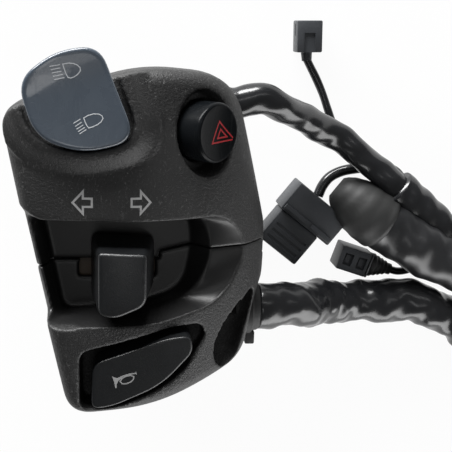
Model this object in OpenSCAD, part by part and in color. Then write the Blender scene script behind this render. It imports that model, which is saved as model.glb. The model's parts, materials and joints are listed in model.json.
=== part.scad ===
// Handlebar switch cluster, left hand: a clamp-on housing with a beam rocker, hazard button,
// turn slider and horn button, and the wire loom that leaves its right side.
// The bar runs along X through the origin. Y points up the switch face, Z towards the rider's eye.

/* [Bar clamp] */
// Diameter of the handlebar tube
bar_d = 22.2; // [20:0.1:24]
// Wall of the saddle in front of the bar
saddle_wall = 2.4; // [2:0.1:3]
// Wall behind the bar, which holds the rear screw
rear_wall = 9.9; // [9.5:0.1:13]
// Left end of the bore, from the origin
bore_left = 16; // [14:0.5:16.5]
// Right end of the bore, from the origin
bore_right = 30.5; // [26:0.5:31]

/* [Case] */
// Height of the face's crest above the bar axis
face_z = 36; // [35:0.25:38]
// Radius of the face across the bar direction
face_r = 50; // [48:1:60]
// Wall of the moulded shell
wall = 2.4; // [1.8:0.1:2.8]
// Radius of the rounded rim of the face
rim_r = 3.4; // [3:0.1:3.8]
// Height of the step in the parting line at its right end
seam_step = 4; // [3:0.1:5]

/* [Screws] */
// Thread diameter of a case screw
screw_d = 4; // [3:0.25:4]
// Diameter of a screw head
head_d = 6.6; // [5.5:0.1:6.8]
// Length of a screw under its head
screw_l = 21; // [17:0.5:23]

/* [Beam rocker] */
// Travel of the rocker from low beam to high beam, in degrees
rocker_swing = 14; // [8:1:15]
// Thickness of the rocker cap
rocker_t = 3.6; // [3:0.1:4.5]
// Diameter of the pivot pin
pin_d = 2.5; // [2:0.1:2.8]
// Depth of the pocket that the cap dips into
pocket_d = 2.4; // [2:0.1:2.8]

/* [Hazard button] */
// Diameter of the hazard button
hazard_d = 14.6; // [13:0.1:15]
// Travel of the hazard button
hazard_travel = 3; // [2:0.1:3.5]
// Tilt of the hazard button's axis to the right, in degrees
hazard_tilt = 43; // [40:0.5:45]

/* [Turn knob] */
// Travel of the turn knob to either side
turn_travel = 4.5; // [3.5:0.1:4.6]
// Push of the turn knob that cancels the signal
cancel_push = 2; // [1.5:0.1:2.2]
// Height of the knob's face above the crest of the case's face
knob_proud = 2.6; // [1.5:0.1:3.5]
// Height of the recess floor above the bar axis
recess_z = 20.5; // [20.4:0.1:21.5]
// Height of the ledge round the deep part of the recess
ledge_z = 25; // [24.5:0.1:26]

/* [Horn button] */
// Travel of the horn button
horn_travel = 2.5; // [2:0.1:2.8]
// Drop of the horn button's face below the crest of the case's face
horn_drop = 1; // [0.4:0.1:2]
// Height of the horn recess floor above the bar axis
horn_floor_z = 25; // [24.5:0.1:25.5]

/* [Harness] */
// Outer diameter of the lower loom sleeve
loom_d = 13; // [11:0.25:13]
// Outer diameter of the upper branch sleeve
branch_d = 8.2; // [7.8:0.1:8.6]
// Outer diameter of the loom's outer cover
cover_d = 17; // [15:0.25:17]
// Diameter of the plug lead
plug_lead_d = 3.2; // [2.6:0.1:3.2]
// Width of the brake lead
brake_lead_d = 2.4; // [2:0.1:2.6]
// Diameter of the side plug's lead
side_lead_d = 2.4; // [2:0.1:2.6]

/* [Fits] */
// Gap between pieces that slide on each other
slide_gap = 0.25; // [0.2:0.05:0.35]
// Gap round a piece that sits in a hole
seat_gap = 0.2; // [0.1:0.05:0.3]
// Gap round the rocker cap in its pocket
cap_gap = 1.2; // [1.1:0.1:1.6]

/* [Hidden] */
$fn = 48;
far = 120;
eps = 0.01;

// Case: heights that follow from the bar
bar_r = bar_d/2;
floor_z = bar_r + saddle_wall;
bench_z = -(bar_r + rear_wall);
crest_x = -4;
left_r = 120;
long_r = 300;

// Outlines as corners [x, y, length cut off the sides by the rounding]
front_outline = [[-28.5, 38.5, 6], [-13, -37.5, 6], [8, -35, 10], [31.5, -22, 11],
                 [41, -3, 14], [27.5, 46.8, 11], [4.5, 48.8, 8]];
rear_outline = [[-19, 12, 4], [-15, -12, 4], [4, -13, 5], [24, -13, 5],
                [30, -2, 8], [26, 12, 5], [4, 13, 5]];
turn_floor = [[-19.8, 12.9, 2], [-14.9, -12.9, 3], [5, -11.5, 4], [15.5, -7.4, 5], [17.6, 4, 6],
              [16.8, 12.6, 5]];
turn_ledge = [[-20.6, 12.9, 2], [-14.9, -13, 3], [5, -11.6, 4], [18.4, -7, 6], [22.8, 3, 7], [20, 12.7, 6]];
turn_mouth = [[-27, 13.3, 1], [-20, -13, 1], [10, -13, 3], [24, -9.8, 5], [27, 4, 6], [24, 13.1, 5]];
turn_relief = [[12, 12.8, 2], [12, -12.6, 2], [22, -10.6, 4], [29.4, -6.6, 6], [32.4, 3, 7], [29, 11.2, 6]];
horn_pocket = [[-10.2, -19.4, 3], [-10.2, -35.4, 3], [-1.5, -34.8, 3], [9.5, -30.6, 4],
               [16.2, -26, 4], [21, -17.5, 2.5], [19.6, -14.2, 1.8], [12.5, -13.9, 4]];
horn_outline = [[-7, -22.8, 3], [-7.4, -34.6, 3], [-2, -33.8, 3], [10, -28.6, 5],
                [17.6, -20, 3], [16.8, -15.7, 2], [11, -16.2, 3]];
rocker_outline = [[-11.3, 8.9, 5], [-11.5, -4.2, 5.5], [-2.6, -10.6, 6], [9.9, -11.4, 6],
                  [8.3, 11.1, 6.5], [-1.2, 12.6, 5]];
knob_outline = [[-5.6, 6.3, 1.2], [-5.6, -9.2, 2.2], [-1.5, -10, 2], [5.9, -6.8, 2.5], [5.9, 5.8, 1.2]];

// Screws: their places in X and Z, with the heads below and the points above
screw_r = screw_d/2;
head_r = head_d/2;
head_t = 2.6;
head_y = -9;
front_screw = [27, floor_z + 3];
scoop_route = [[29.8, -10, 16.8], [29, -13.5, 17.5], [27.6, -18.5, 19.2], [27.2, -25, 20], [27, -33, 20.4]];
scoop_radii = [4.4, 5.6, 7, 7.6, 8];
scoop_r = head_r + 0.5;
scoop_l = 7.5;
seam_x = 9.5;
seam_ramp = 8;
rear_screw = [4, bench_z + 5];
boss_r = screw_r + 2.2;

// Beam rocker: the pad's frame and the stack under the cap
pad_pos = [-10, 41, face_z - 0.3];
pad_tilt = 8;
pad_turn = 18;
pad_rim = 2.8;
pad_slope = 4.7;
pad_h = 3.6;
cap_lift = 1.6;
pivot_y = -5;
pivot_z = -6.5;
cap_z = cap_lift - pocket_d;
cap_dish = 1.2;
cap_dish_r = 50;
stem_x = 6;
stem_y = 4;
stem_z = -10;
ear_t = 2.2;
holder_z = -14.6;
holder_bore_r = 1.7;
holder_top_z = -9.6;
plunger_r = holder_bore_r - seat_gap;
plunger_top_z = -12.5;
plunger_tip = 9.7;
beam_base_x = 7;
beam_base_y = 5.8;
beam_base_z = -13.5;
beam_gap_y = 4.3;

// Hazard button: its frame and the stack along its axis
hazard_pos = [18.9, 33.6, face_z - 10.4];
hazard_r = hazard_d/2;
hazard_bore_r = hazard_r + slide_gap;
hazard_face_z = 5.7;
hazard_dish = 0.6;
hazard_dish_r = 48;
hazard_skirt_z = -5;
well_z = -1;
well_x = -1;
well_squeeze = 0.74;
well_r = hazard_r + 2.1;
well_h = 9;
well_flare = 3.4;
hazard_guide_z = -7.5;
hazard_body_z = -9;
hazard_body_w = 11;
hazard_body_l = 7.5;
hazard_foot = 7;
hazard_foot_x = hazard_pos[0] + (hazard_body_z - hazard_body_l/2)*sin(hazard_tilt);
hazard_foot_z = hazard_pos[2] + (hazard_body_z - hazard_body_l/2)*cos(hazard_tilt);
hazard_stem_r = 2.2;
hazard_cup_z = 2.5;
hazard_rod_r = 1.6;

// Turn knob: the stack between the saddle and the recess floor
turn_y = -2.4;
knob_z = face_z + knob_proud;
recess_t = 1.6;
recess_back_z = recess_z - recess_t;
rack_t = 1.3;
contact_t = 0.3;
carriage_z = floor_z + rack_t + contact_t + slide_gap + contact_t;
shutter_t = 0.4;
shutter_z = recess_back_z - slide_gap - shutter_t;
carriage_x = 5;
carriage_y = 4.2;
post_x = 3.4;
post_y = 1.8;
post_top_z = 29.5;
slot_right = post_x + turn_travel + 0.5;
slot_left = slot_right + 2.4;
shutter_right = slot_right + 3.4;
shutter_left = slot_left + 1.3;
shutter_y = 2*post_y;
relief_drop = 4;
knob_base_z = recess_z + cancel_push + 0.6;
knob_bore_z = post_top_z + cancel_push + 1.5;
knob_flare = 0.9;
knob_spread = 1.2;
rail_t = 2.2;
ball_r = 1.1;
ball_y = turn_y + carriage_y - ball_r + 0.5;
ball_z = (carriage_z + shutter_z)/2;

// Horn button: the stack between its face and the saddle
horn_at = [4, -24.5];
horn_z = face_z - horn_drop;
horn_floor_t = 1.8;
horn_base_z = horn_floor_z + horn_travel + 0.4;
horn_stem_r = 3;
horn_plate_t = 0.7;
horn_plate_z = horn_floor_z - horn_floor_t - slide_gap - horn_plate_t;
horn_plate_r = 5.6;
horn_rack_z = floor_z + 1.4;
horn_rack = [2*horn_plate_r + 1.4, 2*horn_plate_r - 0.2];
horn_crown_r = 70;
horn_crown_turn = 30;

// Grommets: seats on the right wall as [x, y, z], with the neck and flange radii
upper_seat = [24.5, 38.5, 4];
lower_seat = [34, -18.5, 4];
upper_neck_r = 3.8;
lower_neck_r = 4.8;
flange_t = 2.2;
nose_t = 2;
neck_l = 3;
upper_flange_r = branch_d/2 + 1.3;
lower_flange_r = loom_d/2 + 1.2;
upper_wire_d = 3.2;
lower_wire_d = 3.2;
// Pockets that take the wires down to the grommets, as [corner, size]
upper_pocket = [[14.5, 21.5, 1], [7, 21, floor_z + 3]];
lower_pocket = [[17, -22.5, 1], [4.4, 8, floor_z]];

// Routes of the cords, as points chosen by hand
upper_exit_x = upper_seat[0] + flange_t + nose_t;
lower_exit_x = lower_seat[0] + flange_t + nose_t;
branch_route = [[upper_exit_x, 38.5, 4], [30.6, 38.7, 4], [33.6, 39.4, 3.9], [37.2, 39.6, 3.1],
                [41, 38.4, 1.6], [45.5, 36.4, -1.2], [50, 34.2, -4.8],
                [55, 31.8, -8.2], [60.5, 29, -10.8], [66, 25.6, -11.8], [71.5, 21.6, -12],
                [77, 17, -12.1], [82.5, 12.6, -12.3], [84.6, 10.9, -12.3]];
cuff_route = [[82, 13, -12.3], [88, 8.2, -12.5], [95, 2.8, -12.5], [103, -3.4, -12.5]];
cuff_radii = [6.2, 6, 5.4, 4.2];
loom_route = [[lower_exit_x, -18.5, 4], [39.4, -18.5, 4], [42.4, -18.7, 3.2], [46, -19, 2],
              [51, -19.8, -0.8], [56, -21, -5.2], [61, -22.2, -9.7], [66, -23, -12.5], [71, -23.4, -14],
              [77, -23.5, -14.5], [85, -23.2, -14.5], [93, -24.4, -14.5], [100.5, -27.5, -14.5],
              [106, -30.4, -14.5], [110.5, -34, -14.5], [114.2, -39, -14.5], [117, -44, -14.5],
              [120, -49.6, -14.5], [124, -54.5, -14.5], [134.5, -60.5, -14.5], [146.5, -62, -14.5],
              [158, -58, -14.5], [167, -49, -14.5], [171, -37.5, -14.5], [170, -25.5, -14.5],
              [163.5, -15, -14.5], [153.5, -8, -14.5], [141, -6.5, -14.5], [129.5, -10, -14.1],
              [118, -14.6, -13], [112, -14.4, -12.5], [106, -12, -12.5]];
cover_axis = [[112, -16.8, -12.5], [66, 8.8, -12.5]];
cover_route = [[106, -12, -12.5], [98, -8.8, -12.5], [89, -4, -12.5], [81, 0.5, -12.5], [74, 4.8, -12.5]];
wrap_route = [[70.4, 7.7, -15], [67.8, 9.8, -16.2]];
wrap_radii = [5.2, 4.2];
plug_lead_route = [[59.6, 8.9, -19.3], [60.8, 11.9, -19.3], [63, 14.8, -19.3], [66.4, 16.6, -19.3],
                   [70.6, 17.4, -19.3], [75, 17.9, -19.3], [79.6, 18, -19.2], [83.4, 16.6, -18.6],
                   [85.4, 13.8, -17.2]];
brake_lead_route = [[53.4, 50.5, -19.7], [54.7, 48.2, -19.7], [57, 44.2, -19.7], [59.2, 39.8, -19.7],
                    [61, 35.4, -19.7], [62.8, 31.2, -19.7], [65.4, 27.6, -19.5], [68.4, 24.7, -18],
                    [71, 22.4, -15.6]];
side_lead_route = [[83.5, -14.2, -17.9], [86.4, -15, -18.4], [89.4, -14.9, -19], [91.8, -14, -19.2],
                   [93.6, -13, -19]];
upper_wire_route = [[-3.1, 29.3, 15.2], [-2.4, 26.9, 15.2], [0.5, 24.6, 15.2], [6, 23.6, 15.2],
                    [11.4, 24, 15.2], [15.2, 24.4, 15], [17.6, 25, 12.4], [18, 26.4, 8.6],
                    [18, 29.4, 5.6], [18, 33.4, 4.4], [18.3, 36.4, 4], [19.4, 38.2, 4],
                    [21.2, 38.5, 4]];
lower_wire_route = [[10.4, -3.6, 16.42], [13.5, -4.6, 16.3], [16.2, -7.4, 15.8], [18.2, -11.4, 15.4],
                    [19, -15.2, 15.2], [19.4, -17.9, 13], [19.6, -18.5, 9.5], [20.4, -18.5, 6.2],
                    [23.4, -18.5, 4.3], [30.9, -18.5, 4]];

// Plugs that lie on the bench: place, turn and size
multi_at = [57, 4.7];
multi_turn = -38;
multi_size = [19, 9.6, 10];
multi_skirt = [14.5, 11, 8.4];
side_at = [71, -10.4];
side_turn = -18;
side_size = [10.5, 7.6, 8.2];
side_boot_l = 7;
side_boot_r = 1.8;
brake_at = [53.3, 56.4];
brake_turn = 2;
brake_size = [7.4, 9, 6.4];

case_col = [0.13, 0.13, 0.135];
black_col = [0.07, 0.07, 0.075];
rocker_col = [0.27, 0.31, 0.35];
steel_col = [0.72, 0.72, 0.7];
brass_col = [0.78, 0.6, 0.3];
base_col = [0.55, 0.42, 0.28];

// Curves and sweeps
function unit(v) = v/norm(v);
function xy(p) = [p[0], p[1]];
// Rounded outline: each corner becomes a curve of k + 1 points, and leaves some of each side straight
function soft(c, k = 4) = [for (i = [0:len(c) - 1])
    let (n = len(c), p = xy(c[i]), a = xy(c[(i + n - 1)%n]), b = xy(c[(i + 1)%n]),
         cut = min(c[i][2], 0.46*norm(a - p), 0.46*norm(b - p)),
         from = p + cut*unit(a - p), to = p + cut*unit(b - p))
    for (j = [0:k]) let (t = j/k) (1 - t)*(1 - t)*from + 2*t*(1 - t)*p + t*t*to];
// A closed outline moved inwards by d
function inset(o, d) = [for (i = [0:len(o) - 1])
    let (n = len(o), t = unit(o[(i + 1)%n] - o[(i + n - 1)%n])) o[i] + d*[-t[1], t[0]]];
// Height of the face over a point
function face_at(p) = let (dx = p[0] - crest_x)
    face_z - (dx > 0 ? face_r - sqrt(face_r*face_r - dx*dx) : dx*dx/(2*left_r)) - p[1]*p[1]/(2*long_r);
// Rings of the case, from the rear up the walls, over the rim and across the face
function wall_ring(f, r, s, d) = let (bulge = 1 - pow(1 - s, 4))
    [for (i = [0:len(f) - 1]) let (p = r[i] + bulge*(f[i] - r[i]))
        [p[0], p[1], bench_z + s*(face_at(f[i]) - d - rim_r - bench_z)]];
function rim_ring(f, a, d) = [for (p = inset(f, (rim_r - min(d, rim_r - 1))*(1 - cos(a))))
    [p[0], p[1], face_at(p) - d - rim_r*(1 - sin(a))]];
function face_ring(f, s, d) = let (mid = [4, 6], edge = inset(f, rim_r - min(d, rim_r - 1)))
    [for (q = edge) let (p = mid + s*(q - mid)) [p[0], p[1], face_at(p) - d]];
function case_rings(d) = let (f = inset(soft(front_outline), d), r = inset(soft(rear_outline), d))
    concat([for (s = [0, 0.07, 0.18, 0.34, 0.55, 0.8]) wall_ring(f, r, s, d)],
           [for (a = [0, 30, 60]) rim_ring(f, a, d)],
           [for (s = [1, 0.76, 0.5, 0.24]) face_ring(f, s, d)]);
// Rings joined into a closed skin
module loft(rings) {
    n = len(rings[0]);
    m = len(rings);
    mid_a = [for (k = [0:2]) [for (p = rings[0]) p[k]]*[for (p = rings[0]) 1]/n];
    mid_b = [for (k = [0:2]) [for (p = rings[m - 1]) p[k]]*[for (p = rings[m - 1]) 1]/n];
    points = concat([for (r = rings) for (p = r) p], [mid_a, mid_b]);
    sides = [for (j = [0:m - 2]) for (i = [0:n - 1]) for (h = [0, 1])
        let (a = j*n + i, b = j*n + (i + 1)%n) h == 0 ? [a, a + n, b + n] : [a, b + n, b]];
    ends = [for (i = [0:n - 1]) for (h = [0, 1]) let (q = (i + 1)%n)
        h == 0 ? [m*n, i, q] : [m*n + 1, (m - 1)*n + q, (m - 1)*n + i]];
    polyhedron(points, concat(sides, ends), convexity = 6);
}
// Direction of a route at point i
function along(r, i) = unit(r[min(i + 1, len(r) - 1)] - r[max(i - 1, 0)]);
function tube_ring(r, i, rad, sides) =
    let (t = along(r, i), s = unit(cross(t, [0, 0, 1])), u = cross(s, t))
    [for (k = [0:sides - 1]) let (a = 360*k/sides) r[i] + rad*(cos(a)*s + sin(a)*u)];
module tube(route, d, sides) loft([for (i = [0:len(route) - 1]) tube_ring(route, i, d/2, sides)]);
// Tube whose radius changes from point to point
module taper(route, radii, grow, sides)
    loft([for (i = [0:len(route) - 1]) tube_ring(route, i, radii[i] + grow, sides)]);
// Straight rod between two points
module rod(a, b, r) translate(a)
    rotate([0, acos((b[2] - a[2])/norm(b - a)), atan2(b[1] - a[1], b[0] - a[0])])
        cylinder(r = r, h = norm(b - a));
// Coil spring along Z from 0 to h, on a mean radius, with its wire inside that height
function coil_point(r, h, wire, turns, t) = [r*cos(360*turns*t), r*sin(360*turns*t), wire/2 + (h - wire)*t];
function coil_ring(r, h, wire, turns, t) =
    let (a = 360*turns*t, out = [cos(a), sin(a), 0], p = coil_point(r, h, wire, turns, t))
    [for (k = [0:5]) let (b = -60*k) p + wire/2*(cos(b)*out + sin(b)*[0, 0, 1])];
function coil_gap(r, h, wire, turns) = min([for (i = [0:8]) for (j = [i + 5:8*turns])
    norm(coil_point(r, h, wire, turns, i/(8*turns)) - coil_point(r, h, wire, turns, j/(8*turns)))]) - wire;
module coil_spring(r, h, wire, turns) {
    echo(spring_gap = coil_gap(r, h, wire, turns));
    color(steel_col) loft([for (i = [0:8*turns]) coil_ring(r, h, wire, turns, i/(8*turns))]);
}

// Places
module on_pad() translate(pad_pos) rotate([-pad_tilt, 0, 0]) rotate([0, 0, pad_turn]) children();
module at_pivot() translate([0, pivot_y, pivot_z]) children();
module on_rocker() on_pad() at_pivot()
    rotate([rocker_swing/2, 0, 0]) translate([0, 0, -pivot_z]) children();
module on_hazard() translate(hazard_pos) rotate([0, hazard_tilt, 0]) children();
module along_x(at) translate(at) rotate([0, 90, 0]) children();
module along_y(at) translate([at[0], 0, at[1]]) rotate([-90, 0, 0]) children();
module at_horn(z) translate([horn_at[0], horn_at[1], z]) children();
module on_bench(at, turn) translate([at[0], at[1], bench_z]) rotate([0, 0, turn]) children();
module above(z) translate([-far/2, -far/2, z]) cube(far);
module block(size, z0) translate([-size[0]/2, -size[1]/2, z0]) cube(size);

// Hollows of the case
module slice(outline, z, grow) translate([0, 0, z]) linear_extrude(eps)
    offset(delta = grow) polygon(soft(outline));
// Deep part, the slopes from its ledge to the mouth, and a shallow relief that falls away to the right
module turn_hollow(grow) {
    hull() {
        slice(turn_floor, recess_z - grow, grow);
        slice(turn_ledge, ledge_z, grow);
    }
    hull() {
        slice(turn_ledge, ledge_z - eps, grow);
        slice(turn_mouth, face_z + 2, grow);
    }
    intersection() {
        translate([0, 0, recess_z - 8]) linear_extrude(far) offset(delta = grow) polygon(soft(turn_relief));
        translate([0, far/2, ledge_z - grow]) rotate([90, 0, 0]) linear_extrude(far)
            polygon([[10, 0], [turn_ledge[4][0], 0], [turn_relief[4][0], -relief_drop], [far, -far/2],
                     [far, far], [10, far]]);
    }
}
module horn_hollow(grow) translate([0, 0, horn_floor_z - grow]) linear_extrude(far)
    offset(delta = grow) polygon(soft(horn_pocket));
module hazard_well(grow) on_hazard() translate([well_x, 0, well_z - grow]) hull() {
    linear_extrude(eps) scale([well_squeeze, 1]) circle(well_r + grow);
    translate([0, 0, well_h]) linear_extrude(eps) scale([well_squeeze, 1]) circle(well_r + grow + well_flare);
}
module screw_scoop() {
    along_y(front_screw) translate([0, 0, head_y - scoop_l]) cylinder(r = scoop_r, h = scoop_l);
    taper(scoop_route, scoop_radii, 0, 20);
}
module rocker_pad() intersection() {
    on_pad() hull() {
        linear_extrude(eps) offset(r = pad_rim, $fn = 24) polygon(soft(rocker_outline, 3));
        translate([0, 0, -pad_h]) linear_extrude(eps)
            offset(r = pad_rim + pad_slope, $fn = 24) polygon(soft(rocker_outline, 3));
    }
    translate([0, 0, floor_z]) linear_extrude(far) polygon(inset(soft(front_outline), 0.4));
}
module rocker_opening() on_pad() {
    translate([0, 0, -pocket_d]) linear_extrude(far)
        offset(delta = cap_gap) polygon(soft(rocker_outline, 3));
    at_pivot() block([2*stem_x + 1, 2*stem_y + 3, 8], -0.5);
}
module rocker_ears() on_pad() at_pivot() for (s = [-1, 1])
    translate([s*(stem_x + 0.4 + ear_t/2), 0, 0]) difference() {
        block([ear_t, 6, 6.5], -3);
        along_x([-ear_t, 0, 0]) cylinder(d = pin_d, h = 2*ear_t);
    }
module wire_ways() {
    for (s = [[upper_seat, upper_neck_r, upper_pocket], [lower_seat, lower_neck_r, lower_pocket]]) {
        along_x([s[2][0][0] + 4, s[0][1], s[0][2]]) cylinder(r = s[1] + seat_gap, h = far);
        translate(s[2][0]) cube(s[2][1]);
    }
    along_x(upper_seat) cylinder(r = upper_flange_r + 0.6, h = far);
    along_x(lower_seat) cylinder(r = lower_flange_r + 0.6, h = far);
}
module bar_bore() {
    along_x([-far/2, 0, 0]) cylinder(r = bar_r, h = far, $fn = 96);
    along_x([-bore_left - far, 0, 0]) cylinder(r = bar_r + 2.2, h = far);
    along_x([bore_right, 0, 0]) cylinder(r = bar_r + 2.2, h = far);
}
module screw_ways() for (p = [front_screw, rear_screw]) along_y(p) {
    translate([0, 0, head_y - 1]) cylinder(r = screw_r, h = screw_l + 2);
    translate([0, 0, head_y - far]) cylinder(r = head_r + 0.3, h = far);
}
// What stands inside the shell: floors, wells, guides, bosses and ears
module inner_walls() {
    turn_hollow(recess_t);
    horn_hollow(horn_floor_t);
    hazard_well(1.8);
    on_hazard() translate([0, 0, hazard_guide_z]) cylinder(r = hazard_bore_r + 1.8, h = 12);
    along_y(front_screw) translate([0, 0, head_y - 3]) cylinder(r = boss_r, h = screw_l + 3);
    along_y(front_screw) translate([0, 0, head_y - scoop_l]) cylinder(r = scoop_r + 1.5, h = scoop_l + 1);
    taper(scoop_route, scoop_radii, 1.2, 20);
    rocker_ears();
}
module cavity() difference() {
    intersection() {
        loft(case_rings(wall));
        above(floor_z);
    }
    inner_walls();
}
module shell() difference() {
    union() {
        loft(case_rings(0));
        rocker_pad();
        along_x([lower_seat[0] - 6, lower_seat[1], lower_seat[2]]) cylinder(r = lower_neck_r + 1.8, h = 6);
    }
    cavity();
    turn_hollow(0);
    horn_hollow(0);
    hazard_well(0);
    on_hazard() translate([0, 0, hazard_guide_z - 1]) cylinder(r = hazard_bore_r, h = 20);
    rocker_opening();
    translate([-slot_left, turn_y - post_y - 0.4, floor_z + 4])
        cube([slot_left + slot_right, 2*(post_y + 0.4), far]);
    at_horn(floor_z) cylinder(r = horn_stem_r + slide_gap, h = far);
    screw_scoop();
    screw_ways();
    bar_bore();
    wire_ways();
}
// Space of the lower case: below the bar's middle, and up to the step right of the slider
module lower_space() {
    translate([-far/2, -far, -far/2]) cube([far, far, far]);
    translate([0, 0, floor_z - eps]) linear_extrude(far)
        polygon([[seam_x, -1], [far, -1], [far, seam_step], [seam_x + seam_ramp, seam_step],
                 [seam_x, seam_step - 2]]);
}

module upper_case() color(case_col) difference() {
    shell();
    lower_space();
}
module lower_case() color(case_col) intersection() {
    shell();
    lower_space();
}
module case_screws() color(steel_col) for (p = [front_screw, rear_screw])
    along_y(p) translate([0, 0, head_y]) difference() {
        union() {
            cylinder(r = screw_r, h = screw_l);
            translate([0, 0, -head_t]) cylinder(r = head_r, h = head_t);
        }
        for (a = [0, 90]) rotate([0, 0, a]) block([head_d*0.6, 0.9, 1.2], -head_t - eps);
    }

// Beam switch
module beam_rocker() color(rocker_col) on_rocker() difference() {
    union() {
        translate([0, -pivot_y, cap_z]) linear_extrude(rocker_t) polygon(soft(rocker_outline));
        block([2*stem_x, 2*stem_y, cap_z - stem_z + 1], stem_z);
        block([6, 5.2, stem_z - holder_z + 1], holder_z);
    }
    along_x([-far/2, -pivot_y, cap_dish_r + cap_z + rocker_t - cap_dish])
        cylinder(r = cap_dish_r, h = far, $fn = 160);
    along_x([-far/2, 0, pivot_z]) cylinder(r = pin_d/2 + slide_gap, h = far);
    translate([0, 0, holder_z - 1]) cylinder(r = holder_bore_r, h = holder_top_z - holder_z + 1);
}
module rocker_pin() color(steel_col) on_pad() at_pivot()
    along_x([-(stem_x + 0.4 + ear_t), 0, 0]) cylinder(d = pin_d, h = 2*(stem_x + 0.4 + ear_t));
module rocker_plunger() color(steel_col) on_rocker() {
    tip_z = pivot_z - plunger_tip + plunger_r;
    translate([0, 0, tip_z]) sphere(r = plunger_r);
    translate([0, 0, tip_z]) cylinder(r = plunger_r, h = plunger_top_z - tip_z);
}
module rocker_plunger_spring() on_rocker() translate([0, 0, plunger_top_z])
    coil_spring(1.15, holder_top_z - plunger_top_z, 0.3, 3);
module beam_switch_base() color(base_col) intersection() {
    on_pad() at_pivot() translate([0, 0, -pivot_z]) difference() {
        block([2*beam_base_x, 2*beam_base_y, 20], beam_base_z - 20);
        intersection() {
            along_x([-far/2, 0, pivot_z]) cylinder(r = plunger_tip + 0.3, h = far, $fn = 96);
            block([far, 2*beam_gap_y, far], -far/2);
        }
    }
    above(floor_z);
}
module beam_bridge() color(brass_col) on_rocker() difference() {
    block([4, 6.8, 0.5], holder_z + 1.6);
    block([6.02, 5.2, 2], holder_z + 1);
}
module beam_contacts() color(brass_col) on_pad() at_pivot() translate([0, 0, -pivot_z])
    for (s = [-1, 1]) translate([0, s*(beam_base_y - 0.75), 0]) block([4, 1.3, 2], beam_base_z);

// Hazard switch
module hazard_button() color(black_col) on_hazard() difference() {
    union() {
        translate([0, 0, hazard_skirt_z]) cylinder(r = hazard_r, h = hazard_face_z - 0.7 - hazard_skirt_z);
        translate([0, 0, hazard_face_z - 0.7]) cylinder(r1 = hazard_r, r2 = hazard_r - 0.7, h = 0.7);
    }
    translate([0, 0, hazard_face_z + hazard_dish_r - hazard_dish]) sphere(r = hazard_dish_r, $fn = 96);
    difference() {
        translate([0, 0, hazard_skirt_z - 1])
            cylinder(r = hazard_r - 1.6, h = hazard_cup_z - hazard_skirt_z + 1);
        translate([0, 0, hazard_skirt_z - 2]) cylinder(r = hazard_stem_r, h = 20);
    }
}
module hazard_plunger() color(base_col) on_hazard() translate([0, 0, hazard_body_z - 1.5])
    cylinder(r = hazard_rod_r, h = hazard_skirt_z - hazard_body_z + 1.5);
module hazard_spring() on_hazard() translate([0, 0, hazard_body_z])
    coil_spring(3.7, hazard_cup_z - hazard_body_z, 0.5, 6);
module hazard_switch_body() color(base_col) intersection() {
    difference() {
        union() {
            on_hazard() block([hazard_body_w, hazard_body_w, hazard_body_l], hazard_body_z - hazard_body_l);
            translate([hazard_foot_x, hazard_pos[1], 0])
                block([hazard_foot, hazard_body_w, hazard_foot_z - floor_z], floor_z);
        }
        on_hazard() translate([0, 0, hazard_body_z - 2 - hazard_travel])
            cylinder(r = hazard_rod_r + 0.3, h = far);
    }
    above(floor_z);
}
module hazard_terminals() color(brass_col) intersection() {
    on_hazard() for (s = [-1, 1])
        translate([0, s*(hazard_body_w/2 + 0.4), 0]) block([2.8, 0.8, 2.2], hazard_body_z - 4);
    above(floor_z);
}

// Turn switch
module turn_knob() color(case_col) difference() {
    hull() {
        translate([0, 0, knob_base_z]) linear_extrude(eps)
            offset(r = knob_flare) scale([knob_spread, 1]) polygon(soft(knob_outline));
        translate([0, 0, knob_z - 0.6]) linear_extrude(eps) polygon(soft(knob_outline));
        translate([0, 0, knob_z - eps]) linear_extrude(eps) offset(r = -0.6) polygon(soft(knob_outline));
    }
    translate([0, turn_y, 0])
        block([2*(post_x + slide_gap), 2*(post_y + slide_gap), knob_bore_z - knob_base_z + 1],
              knob_base_z - 1);
}
module turn_knob_spring() translate([0, turn_y, post_top_z])
    coil_spring(1.2, knob_bore_z - post_top_z, 0.35, 3);
module turn_carriage() color(base_col) difference() {
    translate([0, turn_y, 0]) {
        block([2*carriage_x, 2*carriage_y, shutter_z - carriage_z], carriage_z);
        block([2*post_x, 2*post_y, post_top_z - carriage_z], carriage_z);
    }
    translate([0, turn_y + 0.4, ball_z]) rotate([-90, 0, 0]) cylinder(r = ball_r + 0.1, h = far);
}
module turn_shutter() color([0.36, 0.27, 0.2]) translate([0, turn_y, 0]) difference() {
    translate([-shutter_left, -shutter_y, shutter_z])
        cube([shutter_left + shutter_right, 2*shutter_y, shutter_t]);
    block([2*post_x, 2*post_y, 4], shutter_z - 1);
}
module turn_wiper() color(brass_col) translate([0, turn_y, 0]) for (s = [-1, 1])
    translate([s*2.6, 0, 0]) block([2, 5, contact_t], carriage_z - contact_t);
module turn_detent_ball() color(steel_col) translate([0, ball_y, ball_z]) sphere(r = ball_r);
module turn_detent_spring() translate([0, turn_y + 0.4, ball_z]) rotate([-90, 0, 0])
    coil_spring(0.7, ball_y - turn_y - 0.4 - ball_r*0.9, 0.25, 2);
module turn_switch_base() color(base_col) translate([0, turn_y, 0]) difference() {
    rail_y = carriage_y + slide_gap;
    rack_x = carriage_x + turn_travel + slide_gap;
    union() {
        translate([-rack_x, -rail_y - rail_t, floor_z]) cube([2*rack_x + 3, 2*(rail_y + rail_t), rack_t]);
        for (s = [-1, 1]) translate([0, s*(rail_y + rail_t/2), 0])
            block([2*rack_x, rail_t, shutter_z - floor_z - slide_gap], floor_z);
    }
    translate([0, rail_y, ball_z]) block([2*turn_travel + 2*ball_r, 1.6, 2.6], -1.3);
    for (x = [-1, 0, 1]) translate([x*turn_travel, rail_y, ball_z - 1.3]) cylinder(r = 1.4, h = 2.6);
}
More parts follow.
